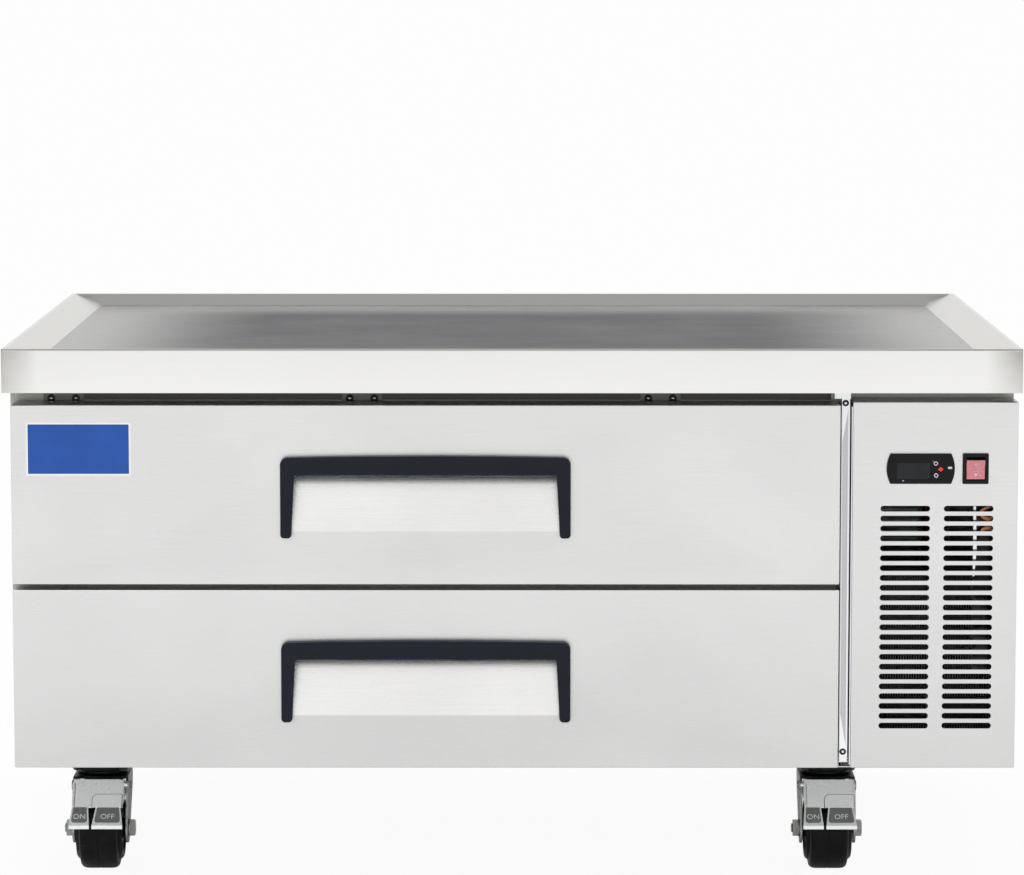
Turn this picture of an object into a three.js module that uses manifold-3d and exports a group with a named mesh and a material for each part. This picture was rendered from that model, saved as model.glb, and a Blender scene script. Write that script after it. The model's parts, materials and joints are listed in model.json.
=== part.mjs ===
// Refrigerated chef base: a low two-drawer refrigerator with a worktop that carries cooking equipment.
// Millimetres, +Z up. The origin is on the floor under the centre of the worktop, +X is to the right
// as seen from the front, and the front faces -Y.
import * as THREE from "three";
import { mergeVertices } from "three/addons/utils/BufferGeometryUtils.js";
import Module from "manifold-3d";

const wasm = await Module();
wasm.setup();

// Whole object
const width = 1229;
const depth = 838;
const height = 676;
const fit = 0.3; // gap between pieces that touch
const overrun = 2; // how far a cut runs past the piece
const weld = 0.4; // how far joined shapes reach into each other
const sheet = 1.2; // steel sheet of the casings

// Worktop with a raised marine edge and a turned-down rim
const topSheet = 1.5;
const rimHeight = 53;
const rimCorner = 4;
const ridgeFlat = 4;
const ridgeSlopeRun = 34;
const ridgeSlopeDrop = 10;
const ridgeStepRun = 7;
const ridgeStepDrop = 3;

// Cabinet
const casterHeight = 134;
const runnerHeight = 18;
const runnerSheet = 2;
const runnerWidth = 124;
const linerSheet = 1;
const backWall = 50;
const floorWall = 56;
const ceilingWall = 75.2; // cavity's ceiling to the casing's top
const midRailHeight = 44;
const cavityMargin = 45; // drawer's side edge to the cavity
const wallRight = 50;
const frameReturn = 20; // depth of the flanges round the openings
const bracketWidth = 49;
const bracketHeight = 30;
const bracketThickness = 3;
const bracketCount = 3;
const bracketFirst = 68; // worktop's left edge to the middle of the first bracket
const bracketLast = 216; // middle of the last bracket to the drawers' right edge

// Drawers
const faceSetback = 19; // worktop's front to the drawer faces
const drawerInset = 8.5; // worktop's left side to the drawers' left edge
const machineWidth = 217.5; // drawers' right edge to the worktop's right side
const drawerTopDrop = 16.5; // rim's lower edge to the upper drawer's top
const drawerGap = 6.5;
const drawerLift = 10; // cabinet's underside to the lower drawer's bottom edge
const frontThickness = 48;
const innerSkinLip = 12;
const gasketInset = 3;
const gasketWidth = 14;
const gasketBase = 2.5;
const gasketBulb = 4.9;
const gasketBulbWidth = 9;

// Handle and the finger pocket behind it
const handleWidth = 351;
const handleHeight = 100;
const handleDrop = 61; // drawer's top edge to the handle's top
const handleProud = 13;
const handleBar = 23;
const handleCrown = 2;
const handleCorner = 8;
const handleBevel = 1.5;
const legTop = 17;
const legFoot = 13;
const legFootRadius = 5;
const pocketRise = 80; // height of the sloped floor
const pocketDepth = 26;
const pocketLap = 10; // how far the pocket reaches up behind the bar
const pocketSide = 3; // pocket's wall past the inner edge of the leg

// Pan frame and telescopic slides
const slideClearance = 20; // slide's rear end to the evaporator's cover
const slideHeight = 46;
const slideSteel = 1.5;
const slideDepth = 13;
const slideGap = 0.5;
const slideOffset = 15.5; // above the middle of the drawer's height
const slideFront = 4; // front frame's flange to the slide
const strapWidth = 40;
const strapInset = 70;
const strapMargin = 7;
const panClearance = 46; // pan frame's rear end to the evaporator's cover
const panLedgeDrop = 29.5; // drawer's top edge to the pan ledge
const ledgeWidth = 24;

// Trim strip between the drawers and the machine compartment
const stripWidth = 10.4;
const stripGap = 0.6;
const stripSetback = 1; // behind the drawer faces
const stripTop = 8; // above the drawers' top edge
const stripFoot = 7; // above the lower drawer's bottom edge
const stripTabReach = 8;
const stripTabHeight = 8;

// Machine compartment's front panel
const panelGap = 4; // trim strip to the panel
const panelTopDrop = 12.4; // rim's lower edge to the panel's top
const slotLength = 60;
const slotHeight = 7;
const slotPitch = 12.1;
const slotColumns = 2;
const slotColumnPitch = 76.7;
const slotFirstDrop = 130; // panel's top to the first row
const slotFoot = 50; // least height under the last row
const slotColumnInset = 64; // panel's left edge to the left column

// Temperature controller
const controllerWidth = 82.5;
const controllerHeight = 37;
const controllerBulge = 4.5;
const controllerProud = 3.5;
const controllerBodyWidth = 71;
const controllerBodyHeight = 28.5;
const controllerBodyDepth = 46;
const controllerInset = 82; // panel's left edge to the controller's middle
const controlsDrop = 81; // panel's top to the controls' middle
const keyRadius = 2.8;
const keyDepth = 3;
const keyProud = 0.8;
const keyTravel = 0.7;
const keyGap = 0.3;

// Rocker switch
const switchWidth = 31.4;
const switchHeight = 37.3;
const switchProud = 3;
const switchCorner = 1.2;
const switchBodyDepth = 26;
const switchBodyMargin = 3;
const switchInset = 148.4; // panel's left edge to the switch's middle
const rockerWidth = 22.3;
const rockerHeight = 27.3;
const rockerProud = 3;
const rockerDepth = 9;
const rockerGap = 0.5;
const rockerPin = 1.2;
const rockerBevel = 1.2;
const rockerTilt = 8; // degrees each way from level

// Casters
const wheelRadius = 50.8;
const treadWidth = 48;
const treadEdge = 5;
const guardRadius = 35;
const guardWidth = 58;
const hubRadius = 13;
const hubWidth = 62.6;
const axleRadius = 6;
const trail = 35; // swivel axis to the axle
const forkWidth = 70;
const forkSteel = 3.2;
const forkLegRadius = 19;
const forkLegArcEnd = Math.PI * 1.85; // where the leg's round foot ends
const forkFront = 36;
const forkBack = 28;
const plateWidth = 71;
const plateDepth = 96;
const plateSteel = 5;
const racewayRadius = 33;
const racewayHeight = 12;
const racewayLip = 3;
const kingpinRadius = 6;
const kingpinHead = 10;
const kingpinHeadHeight = 3;
const boltFlats = 19;
const boltHead = 8;
const boltNut = 10;
const frontCasterSetback = 216; // drawer faces to the front swivel axes
const rearCasterSetback = 81.5; // casing's back to the rear swivel axes
const frontCasterInsets = { left: 95.5, right: 217 }; // worktop's sides to the front swivel axes
const rearCasterInsets = { left: 49.5, right: 182.5 };

// Brake pedal of a front caster
const pedalSteel = 2;
const pedalPivotForward = 38; // swivel axis to the pedal's pivot
const pedalPivotZ = 106;
const pedalPivotRadius = 4;
const pedalEarRadius = 6.5;
const pedalTopForward = 62;
const pedalTopZ = 126;
const pedalFootForward = 84;
const pedalFootZ = 87;
const pedalTabRun = 20;
const pedalTabDrop = 20;
const pedalTabLip = 4;
const pedalTabGap = 3;
const onTabShare = 0.36; // part of the pedal's width
const pedalCheekDrop = 14;

// Machinery
const trayLip = 15;
const trayInset = 3;
const trayFront = 9;
const trayRearGap = 111.5; // tray's rear end to the casing's back
const condenserWidth = 176;
const condenserHeight = 235;
const condenserDepth = 50;
const condenserSetback = 40; // behind the front frame
const finPitch = 11;
const finGroove = 5;
const finGrooveDepth = 12;
const endPlate = 3;
const fanRadius = 74;
const fanTip = 4;
const fanHub = 22;
const fanHubLength = 18;
const bladeCount = 5;
const bladeThickness = 1.6;
const bladePitch = 28; // degrees
const bladeWidthShare = 0.62; // of the fan's radius
// A blade's corners past its root: across in shares of its width, out in shares of the radius
const bladeTipShares = [
  { across: 0.5, out: 0.7 },
  { across: 0.2, out: 0.97 },
  { across: -0.33, out: 0.93 },
];
const bladeRootShare = 0.25; // of the blade's width, each way
const fanRunningGap = 1.5; // blades to the motor's arms
const shroudDepth = 38;
const shroudSteel = 1.5;
const motorRadius = 32;
const motorLength = 46;
const motorArm = 12;
const motorShaft = 4;
const canRadius = 72;
const canHeight = 176;
const canDome = 34;
const canSeam = 3;
const canSeamHeight = 8;
const canSeamShare = 0.55; // of the can's height
const canShoulderShare = 0.78; // of the can's radius
const canCrownShare = 0.4; // of the can's radius
const canSetback = 404; // front frame to the can's axis
const compressorBase = 150;
const compressorBaseSteel = 3;
const footHeight = 10;
const footRadius = 11;
const stubRadius = 7;
const stubHeight = 24;
const stubOffset = 38;
const pipeRadius = 4.8;
const liquidLineRadius = 3.8;
const lineBend = 48; // reach of the bends in the lines
const pipeSteps = 24;
const pipeSides = 8;
const linePassInset = 39; // front of the evaporator's cover to the pipe through the wall
const linePassDrop = 2; // top of the evaporator's cover to that pipe
const drierRadius = 12;
const drierLength = 80;
const drierNeck = 12;
const boxWidth = 120;
const boxDepth = 84;
const boxHeight = 96;
const boxRise = 48; // cabinet's underside to the electrical box
const inletWidth = 48;
const inletHeight = 32;
const inletRecess = 14;
const inletMargin = 5;

// Evaporator in the cavity's rear
const evaporatorWidth = 268;
const evaporatorTopGap = 46; // below the cavity's ceiling
const evaporatorDepth = 104;
const evaporatorRise = 96; // above the cavity's floor
const evaporatorInset = 10; // from the cavity's right wall
const coilDepth = 46;
const coilMargin = 8;
const evaporatorFanShare = 0.28; // radius, as a share of the cover's height
const evaporatorFanSetback = 12;
const grilleRings = 2;
const grilleWire = 3;

// Rear panel
const louvreRows = 14;
const louvrePitch = 15;
const louvreLength = 120;
const louvreHeight = 6;
const louvreDrop = 136; // casing's top to the last row

const roundSides = 20;
const smallSides = 12;
const hexSides = 6;

// Places that follow from the sizes
const half = width / 2;
const frontY = -depth / 2;
const backY = depth / 2;
const deckZ = height - ridgeSlopeDrop - ridgeStepDrop;
const sideGap = (rimCorner - topSheet) * (1 - Math.SQRT1_2) + fit; // clears the rim's round corners
const bodyHalf = half - topSheet - sideGap;
const bodyBack = backY - topSheet - sideGap;
const bodyTop = deckZ - topSheet - fit;
const underside = casterHeight + runnerHeight;
const faceY = frontY + faceSetback;
const skinBack = faceY + frontThickness;
const gasketThickness = gasketBase + gasketBulb;
const frameY = skinBack + fit + gasketThickness + fit;
const drawerLeft = -half + drawerInset;
const drawerWidth = width - drawerInset - machineWidth;
const drawerX = drawerLeft + drawerWidth / 2;
const drawersBottom = underside + drawerLift;
const drawersTop = height - rimHeight - drawerTopDrop;
const drawerHeight = (drawersTop - drawersBottom - drawerGap) / 2;
const drawerPlaces = [
  { name: "lower", z: drawersBottom },
  { name: "upper", z: drawersTop - drawerHeight },
];
const cavityHalf = drawerWidth / 2 - cavityMargin;
const dividerX = drawerX + cavityHalf + wallRight;
const cavityFloor = underside + floorWall;
const cavityCeiling = bodyTop - ceilingWall;
const midRailZ = (drawersBottom + drawersTop - midRailHeight) / 2;
const cavityFront = frameY + frameReturn + fit;
const cavityBack = bodyBack - sheet - fit - backWall;
const bracketZ = drawersTop - gasketInset + fit;
const bracketPitch = (drawerInset + drawerWidth - bracketFirst - bracketLast) / (bracketCount - 1);
const stripX = drawerLeft + drawerWidth + stripGap;
const panelX = stripX + stripWidth + panelGap;
const panelTop = height - rimHeight - panelTopDrop;
const panelBottom = drawersBottom;
const machineX = (dividerX + bodyHalf) / 2;
const machineFloor = underside + sheet + fit;
const trayTop = machineFloor + sheet + fit;
const condenserY = frameY + condenserSetback;
const condenserTop = trayTop + condenserHeight;
const canX = machineX;
const canY = frameY + canSetback;
const boxZ = underside + boxRise;
const evaporatorX1 = drawerX + cavityHalf - evaporatorInset;
const evaporatorX0 = evaporatorX1 - evaporatorWidth;
const evaporatorX = (evaporatorX0 + evaporatorX1) / 2;
const evaporatorY = cavityBack - fit - evaporatorDepth;
const evaporatorZ0 = cavityFloor + evaporatorRise;
const evaporatorZ1 = cavityCeiling - evaporatorTopGap;
const evaporatorZ = (evaporatorZ0 + evaporatorZ1) / 2;
const evaporatorFanRadius = (evaporatorZ1 - evaporatorZ0) * evaporatorFanShare;
const linePassY = evaporatorY + linePassInset;
const linePassZ = evaporatorZ1 - linePassDrop;
const panFrameY = skinBack + fit;
const panFrameEnd = evaporatorY - panClearance;
const panFrameTop = drawerHeight - panLedgeDrop;
const slideRise = (drawerHeight - slideHeight) / 2 + slideOffset;
const slideY0 = frameY + frameReturn + slideFront;
const slideY1 = evaporatorY - slideClearance;
const outerWebX = cavityHalf - fit - slideSteel;
const midWebX = outerWebX - slideSteel - slideGap;
const innerWebX = midWebX - slideDepth;
const step = slideSteel + slideGap; // each nested channel is lower than the last by this
const rockerPivotY = rockerDepth - rockerProud;
const frontCasterY = faceY + frontCasterSetback;
const rearCasterY = bodyBack - rearCasterSetback;
const frontCasterX = { left: -half + frontCasterInsets.left, right: half - frontCasterInsets.right };
const rearCasterX = { left: -half + rearCasterInsets.left, right: half - rearCasterInsets.right };

// Colours, roughness and metalness
const look = (color, roughness, metalness) =>
  new THREE.MeshStandardMaterial({ color, roughness, metalness });
const brushedSteel = () => look(0xd9d9d6, 0.35, 0.9);
const topSteel = () => look(0xd6d5cf, 0.3, 0.9);
const brightSteel = () => look(0xe6e7e8, 0.15, 1);
const galvanised = () => look(0xb4b9bb, 0.5, 0.8);
const zinc = () => look(0xc4cacc, 0.35, 0.9);
const slideSteelLook = () => look(0xc2c6c8, 0.3, 0.9);
const blackPaint = () => look(0x18191b, 0.4, 0.3);
const blackPlastic = () => look(0x22262b, 0.55, 0);
const glossBlack = () => look(0x0b0c0d, 0.15, 0);
const darkRubber = () => look(0x17181a, 0.75, 0);
const greyRubber = () => look(0x5b5f62, 0.8, 0);
const foamYellow = () => look(0xe6d9a2, 0.95, 0);
const linerAluminium = () => look(0xd2d5d6, 0.4, 0.8);
const copper = () => look(0xb87346, 0.35, 1);
const finAluminium = () => look(0x9ea3a6, 0.5, 0.8);
const boxGrey = () => look(0x595c5f, 0.6, 0);
const rockerRed = () => look(0xc8525f, 0.25, 0);
const keyWhite = () => look(0xd8dadc, 0.4, 0);
const keyRed = () => look(0xe04a3a, 0.4, 0);

// A closed geometry as a solid, with its shared corners merged
function solidOf(geometry) {
  const bare = geometry.clone();
  bare.deleteAttribute("normal");
  bare.deleteAttribute("uv");
  const merged = mergeVertices(bare);
  return new wasm.Manifold(
    new wasm.Mesh({
      numProp: 3,
      vertProperties: merged.attributes.position.array,
      triVerts: new Uint32Array(merged.index.array),
    }),
  );
}

// A solid as a geometry with flat faces
function geometryOf(solid) {
  const mesh = solid.getMesh();
  const geometry = new THREE.BufferGeometry();
  geometry.setAttribute("position", new THREE.BufferAttribute(mesh.vertProperties, mesh.numProp));
  geometry.setIndex(new THREE.BufferAttribute(mesh.triVerts, 1));
  const flat = geometry.toNonIndexed();
  flat.computeVertexNormals();
  return flat;
}

function piece(name, solid, material) {
  const mesh = new THREE.Mesh(geometryOf(solid), material);
  mesh.name = name;
  return mesh;
}

const join = (solids) => solids.reduce((all, one) => all.add(one));
const cut = (solid, tools) => tools.reduce((left, tool) => left.subtract(tool), solid);

// A block between two corners
function block([x0, y0, z0], [x1, y1, z1]) {
  const geometry = new THREE.BoxGeometry(x1 - x0, y1 - y0, z1 - z0);
  return solidOf(geometry.translate((x0 + x1) / 2, (y0 + y1) / 2, (z0 + z1) / 2));
}

// A block whose top is a different size from its bottom, centred on the origin in plan
function taper(bottom, top, z0, z1) {
  const geometry = new THREE.BoxGeometry(1, 1, z1 - z0);
  const position = geometry.attributes.position;
  for (let i = 0; i < position.count; i++) {
    const size = position.getZ(i) > 0 ? top : bottom;
    position.setXY(i, position.getX(i) * size[0], position.getY(i) * size[1]);
  }
  return solidOf(geometry.translate(0, 0, (z0 + z1) / 2));
}

// A round bar along an axis, from one end to the other
function bar(axis, radius, from, to, [a, b], sides = smallSides) {
  const geometry = new THREE.CylinderGeometry(radius, radius, to - from, sides);
  const middle = (from + to) / 2;
  if (axis === "x") geometry.rotateZ(-Math.PI / 2).translate(middle, a, b);
  if (axis === "y") geometry.translate(a, middle, b);
  if (axis === "z") geometry.rotateX(Math.PI / 2).translate(a, b, middle);
  return solidOf(geometry);
}

// A round shape turned about an axis; profile points are [radius, place along the axis]
function turned(axis, profile, sides = roundSides) {
  const points = profile.map(([r, along]) => new THREE.Vector2(r, along));
  const geometry = new THREE.LatheGeometry(points, sides);
  if (axis === "x") geometry.rotateZ(-Math.PI / 2);
  if (axis === "z") geometry.rotateX(Math.PI / 2);
  const solid = solidOf(geometry);
  return solid.volume() < 0 ? turned(axis, [...profile].reverse(), sides) : solid;
}

// An outline in x and z, run along y
function alongY(shape, y0, y1, curveSegments = 3) {
  const geometry = new THREE.ExtrudeGeometry(shape, { depth: y1 - y0, bevelEnabled: false, curveSegments });
  return solidOf(geometry.rotateX(Math.PI / 2).translate(0, y1, 0));
}

// An outline in y and z, run along x
function alongX(shape, x0, x1, curveSegments = 3) {
  const geometry = new THREE.ExtrudeGeometry(shape, { depth: x1 - x0, bevelEnabled: false, curveSegments });
  return solidOf(geometry.rotateX(Math.PI / 2).rotateZ(Math.PI / 2).translate(x0, 0, 0));
}

// An outline in x and y, run along z
function alongZ(shape, z0, z1, curveSegments = 3) {
  const geometry = new THREE.ExtrudeGeometry(shape, { depth: z1 - z0, bevelEnabled: false, curveSegments });
  return solidOf(geometry.translate(0, 0, z0));
}

const outline = (points) => new THREE.Shape(points.map(([a, b]) => new THREE.Vector2(a, b)));

function roundedRectangle(w, h, r) {
  const shape = new THREE.Shape();
  shape.moveTo(-w / 2 + r, -h / 2);
  shape.lineTo(w / 2 - r, -h / 2);
  shape.absarc(w / 2 - r, -h / 2 + r, r, -Math.PI / 2, 0);
  shape.lineTo(w / 2, h / 2 - r);
  shape.absarc(w / 2 - r, h / 2 - r, r, 0, Math.PI / 2);
  shape.lineTo(-w / 2 + r, h / 2);
  shape.absarc(-w / 2 + r, h / 2 - r, r, Math.PI / 2, Math.PI);
  shape.lineTo(-w / 2, -h / 2 + r);
  shape.absarc(-w / 2 + r, -h / 2 + r, r, Math.PI, Math.PI * 1.5);
  return shape;
}

// Worktop: a pan turned down at the rim, with a recess that steps down to the deck
function recess(wall) {
  const flat = ridgeFlat + topSheet;
  const upper = [width - 2 * flat + 2 * wall, depth - 2 * flat + 2 * wall];
  const middle = upper.map((size) => size - 2 * ridgeSlopeRun);
  const lower = middle.map((size) => size - 2 * ridgeStepRun);
  const stepZ = height - ridgeSlopeDrop - wall;
  return join([
    taper(middle, upper, stepZ, height - wall),
    taper(lower, middle, stepZ - ridgeStepDrop, stepZ),
    taper(upper, upper, height - wall - weld, height + overrun),
  ]);
}

function worktop() {
  const outer = alongZ(roundedRectangle(width, depth, rimCorner), height - rimHeight, height);
  const room = roundedRectangle(width - 2 * topSheet, depth - 2 * topSheet, rimCorner - topSheet);
  const hollow = alongZ(room, height - rimHeight - overrun, height - topSheet).subtract(recess(topSheet));
  return cut(outer, [recess(0), hollow]);
}

// Outer casing: floor, two sides and the divider, with the runners that carry the casters
function cabinetShell() {
  const y0 = frameY + sheet + fit;
  const y1 = bodyBack - sheet - fit;
  const floor = block([-bodyHalf, y0, underside], [bodyHalf, y1, underside + sheet]);
  const walls = [-bodyHalf, dividerX - sheet, bodyHalf - sheet].map((x) =>
    block([x, y0, underside], [x + sheet, y1, bodyTop]),
  );
  const shell = join([floor, ...walls, ...runners()]);
  return shell.subtract(linePass(pipeRadius + fit));
}

// Channels under the floor, each over a front and a rear caster
function runners() {
  const y0 = frontCasterY - runnerWidth / 2;
  const y1 = rearCasterY + runnerWidth / 2;
  return ["left", "right"].map((side) => {
    const x = (frontCasterX[side] + rearCasterX[side]) / 2;
    const a = x - runnerWidth / 2;
    const b = x + runnerWidth / 2;
    const solid = block([a, y0, casterHeight], [b, y1, underside + weld]);
    const inside = block(
      [a + runnerSheet, y0 - overrun, casterHeight + runnerSheet],
      [b - runnerSheet, y1 + overrun, underside],
    );
    return solid.subtract(inside);
  });
}

// The hole for the refrigerant lines through the right wall
function linePass(radius) {
  const x0 = drawerX + cavityHalf - overrun;
  return bar("x", radius, x0, dividerX + overrun, [linePassY, linePassZ], smallSides);
}

function cabinetFoam() {
  const y1 = bodyBack - sheet - 2 * fit;
  const outer = block(
    [-bodyHalf + sheet + fit, frameY + sheet + fit, underside + sheet + fit],
    [dividerX - sheet - fit, y1, bodyTop],
  );
  const room = cavityHalf + linerSheet + fit;
  const inner = block(
    [drawerX - room - sheet, frameY - overrun, cavityFloor - linerSheet - fit - sheet],
    [drawerX + room + sheet, cavityBack + linerSheet + fit, cavityCeiling + linerSheet + fit + sheet],
  );
  return cut(outer, [inner, linePass(pipeRadius + fit)]);
}

function cabinetLiner() {
  const outer = block(
    [drawerX - cavityHalf - linerSheet, cavityFront, cavityFloor - linerSheet],
    [drawerX + cavityHalf + linerSheet, cavityBack + linerSheet, cavityCeiling + linerSheet],
  );
  const inner = block(
    [drawerX - cavityHalf, cavityFront - overrun, cavityFloor],
    [drawerX + cavityHalf, cavityBack, cavityCeiling],
  );
  return cut(outer, [inner, linePass(pipeRadius + fit)]);
}

// Rear sheet with louvres behind the machinery and a cut-out for the power inlet
function backPanel() {
  const y0 = bodyBack - sheet;
  const plate = block([-bodyHalf, y0, underside], [bodyHalf, bodyBack, bodyTop]);
  const slots = [];
  for (let row = 0; row < louvreRows; row++) {
    const slot = roundedRectangle(louvreLength, louvreHeight, louvreHeight / 2);
    const solid = alongY(slot, y0 - overrun, bodyBack + overrun, 1);
    slots.push(solid.translate([machineX, 0, bodyTop - louvreDrop - row * louvrePitch]));
  }
  const w = inletWidth / 2 + fit;
  const z = boxZ + boxHeight / 2;
  const h = inletHeight / 2 + fit;
  const inlet = block([machineX - w, y0 - overrun, z - h], [machineX + w, bodyBack + overrun, z + h]);
  return cut(plate, [...slots, inlet]);
}

// Frame round the two drawer openings, with the top rail and its three brackets
function frontFrame() {
  const y1 = frameY + sheet;
  const plate = block([-bodyHalf, frameY, underside], [dividerX, y1, bodyTop]);
  const rail = block([dividerX - weld, frameY, cavityCeiling], [bodyHalf, y1, bodyTop]);
  const openings = [
    [cavityFloor, midRailZ],
    [midRailZ + midRailHeight, cavityCeiling],
  ];
  const flanges = openings.map(([z0, z1]) =>
    block(
      [drawerX - cavityHalf - sheet, frameY, z0 - sheet],
      [drawerX + cavityHalf + sheet, frameY + frameReturn, z1 + sheet],
    ),
  );
  const holes = openings.map(([z0, z1]) =>
    block(
      [drawerX - cavityHalf, frameY - overrun, z0],
      [drawerX + cavityHalf, frameY + frameReturn + overrun, z1],
    ),
  );
  const brackets = [];
  for (let i = 0; i < bracketCount; i++) {
    const x = -half + bracketFirst + i * bracketPitch;
    const bracket = block(
      [x - bracketWidth / 2, frameY - bracketThickness, bracketZ],
      [x + bracketWidth / 2, frameY + weld, bracketZ + bracketHeight],
    );
    brackets.push(bracket);
  }
  return cut(join([plate, rail, ...flanges, ...brackets]), holes);
}

// Bright channel between the drawers and the machine compartment, with a tab at its top
function mullionStrip() {
  const y0 = faceY + stripSetback;
  const z0 = drawersBottom + stripFoot;
  const z1 = drawersTop + stripTop;
  const x1 = stripX + stripWidth;
  const solid = block([stripX, y0, z0], [x1, frameY - fit, z1]);
  const inside = block(
    [stripX + sheet, y0 + sheet, z0 - overrun],
    [x1 - sheet, frameY, z1 + overrun],
  );
  const tab = block(
    [stripX - stripTabReach, y0, z1 - weld],
    [x1 + sheet, y0 + sheet, z1 + stripTabHeight],
  );
  return solid.subtract(inside).add(tab);
}

// Sloped pocket behind the handle, grown by a wall; local to the drawer's bottom edge
function pocket(wall) {
  const top = drawerHeight - handleDrop - handleBar + pocketLap;
  const bottom = top - pocketRise;
  const acrossY = (wall * Math.hypot(pocketDepth, pocketRise)) / pocketRise;
  const drop = (acrossY * pocketRise) / pocketDepth;
  const deep = acrossY + (pocketDepth * (pocketRise + wall)) / pocketRise;
  const reach = wall > 0 ? 0 : overrun;
  const side = handleWidth / 2 - legTop + pocketSide + wall;
  const shape = outline([
    [faceY - reach, bottom - drop],
    [faceY, bottom - drop],
    [faceY + deep, top + wall],
    [faceY - reach, top + wall],
  ]);
  return alongX(shape, -side, side);
}

// Drawer pieces are drawn about the drawer's centre line and from its bottom edge
function drawerShell() {
  const w = drawerWidth / 2;
  const outer = block([-w, faceY, 0], [w, skinBack, drawerHeight]);
  const inner = block(
    [-w + sheet, faceY + sheet, sheet],
    [w - sheet, skinBack + overrun, drawerHeight - sheet],
  );
  return outer.subtract(inner).add(pocket(sheet)).subtract(pocket(0));
}

function drawerFoam() {
  const w = drawerWidth / 2 - sheet - fit;
  const solid = block(
    [-w, faceY + sheet + fit, sheet + fit],
    [w, skinBack - sheet - fit, drawerHeight - sheet - fit],
  );
  return cut(solid, [pocket(sheet + fit), innerSkinBlock(fit, 0)]);
}

// The block that the inner skin's outside fills, grown by a clearance
function innerSkinBlock(grow, wall) {
  const w = drawerWidth / 2 - sheet - fit - wall + grow;
  return block(
    [-w, skinBack - innerSkinLip - grow - (wall > 0 ? overrun : 0), sheet + fit + wall - grow],
    [w, skinBack - wall, drawerHeight - sheet - fit - wall + grow],
  );
}

function drawerLiner() {
  return innerSkinBlock(0, 0).subtract(innerSkinBlock(0, sheet));
}

// Magnetic door seal: a flat base with a softer bulb on it
function gasket() {
  const y0 = skinBack + fit;
  const ring = (inset, ringWidth, from, to) => {
    const w = drawerWidth / 2 - inset;
    const a = block([-w, from, inset], [w, to, drawerHeight - inset]);
    const b = block(
      [-w + ringWidth, from - overrun, inset + ringWidth],
      [w - ringWidth, to + overrun, drawerHeight - inset - ringWidth],
    );
    return a.subtract(b);
  };
  const bulbInset = gasketInset + (gasketWidth - gasketBulbWidth) / 2;
  return join([
    ring(gasketInset, gasketWidth, y0, y0 + gasketBase),
    ring(bulbInset, gasketBulbWidth, y0 + gasketBase - weld, y0 + gasketThickness),
  ]);
}

// Inverted U handle with a crowned top edge and legs that narrow downwards
function handle() {
  const w = handleWidth / 2;
  const shape = new THREE.Shape();
  shape.moveTo(-w, legFootRadius);
  shape.lineTo(-w, handleHeight - handleCrown - handleCorner);
  shape.quadraticCurveTo(-w, handleHeight - handleCrown, -w + handleCorner, handleHeight - handleCrown);
  shape.quadraticCurveTo(0, handleHeight + handleCrown, w - handleCorner, handleHeight - handleCrown);
  shape.quadraticCurveTo(w, handleHeight - handleCrown, w, handleHeight - handleCrown - handleCorner);
  shape.lineTo(w, legFootRadius);
  shape.quadraticCurveTo(w, 0, w - legFootRadius, 0);
  shape.lineTo(w - legFoot + legFootRadius, 0);
  shape.quadraticCurveTo(w - legFoot, 0, w - legFoot, legFootRadius);
  shape.lineTo(w - legTop, handleHeight - handleBar);
  shape.lineTo(-w + legTop, handleHeight - handleBar);
  shape.lineTo(-w + legFoot, legFootRadius);
  shape.quadraticCurveTo(-w + legFoot, 0, -w + legFoot - legFootRadius, 0);
  shape.lineTo(-w + legFootRadius, 0);
  shape.quadraticCurveTo(-w, 0, -w, legFootRadius);
  const geometry = new THREE.ExtrudeGeometry(shape, {
    depth: handleProud - 2 * handleBevel,
    bevelThickness: handleBevel,
    bevelSize: handleBevel,
    bevelOffset: -handleBevel,
    bevelSegments: 1,
    curveSegments: 4,
  });
  geometry.rotateX(Math.PI / 2).translate(0, faceY - fit - handleBevel, 0);
  return solidOf(geometry).translate([0, 0, drawerHeight - handleDrop - handleHeight]);
}

// A channel open towards -x: its web faces +x at x1, from z0 to z1
function channel(x1, flange, z0, z1, y0, y1) {
  const solid = block([x1 - flange, y0, z0], [x1, y1, z1]);
  const inside = block(
    [x1 - flange - overrun, y0 - overrun, z0 + slideSteel],
    [x1 - slideSteel, y1 + overrun, z1 - slideSteel],
  );
  return solid.subtract(inside);
}

// Fixed rails of both drawers on their two straps, for the right-hand wall
function railFrame() {
  const rails = drawerPlaces.map(({ z }) => {
    const z0 = z + slideRise;
    const z1 = z0 + slideHeight;
    return channel(outerWebX + weld, slideDepth, z0, z1, slideY0, slideY1);
  });
  const straps = [slideY0 + strapInset, slideY1 - strapInset].map((y) =>
    block(
      [outerWebX, y - strapWidth / 2, cavityFloor + strapMargin],
      [outerWebX + slideSteel, y + strapWidth / 2, cavityCeiling - strapMargin],
    ),
  );
  return join([...rails, ...straps]);
}

// Middle member of a right-hand slide
function slideMid() {
  const z0 = slideRise + step;
  const z1 = slideRise + slideHeight - step;
  return channel(midWebX, slideDepth - slideSteel, z0, z1, slideY0, slideY1);
}

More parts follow.
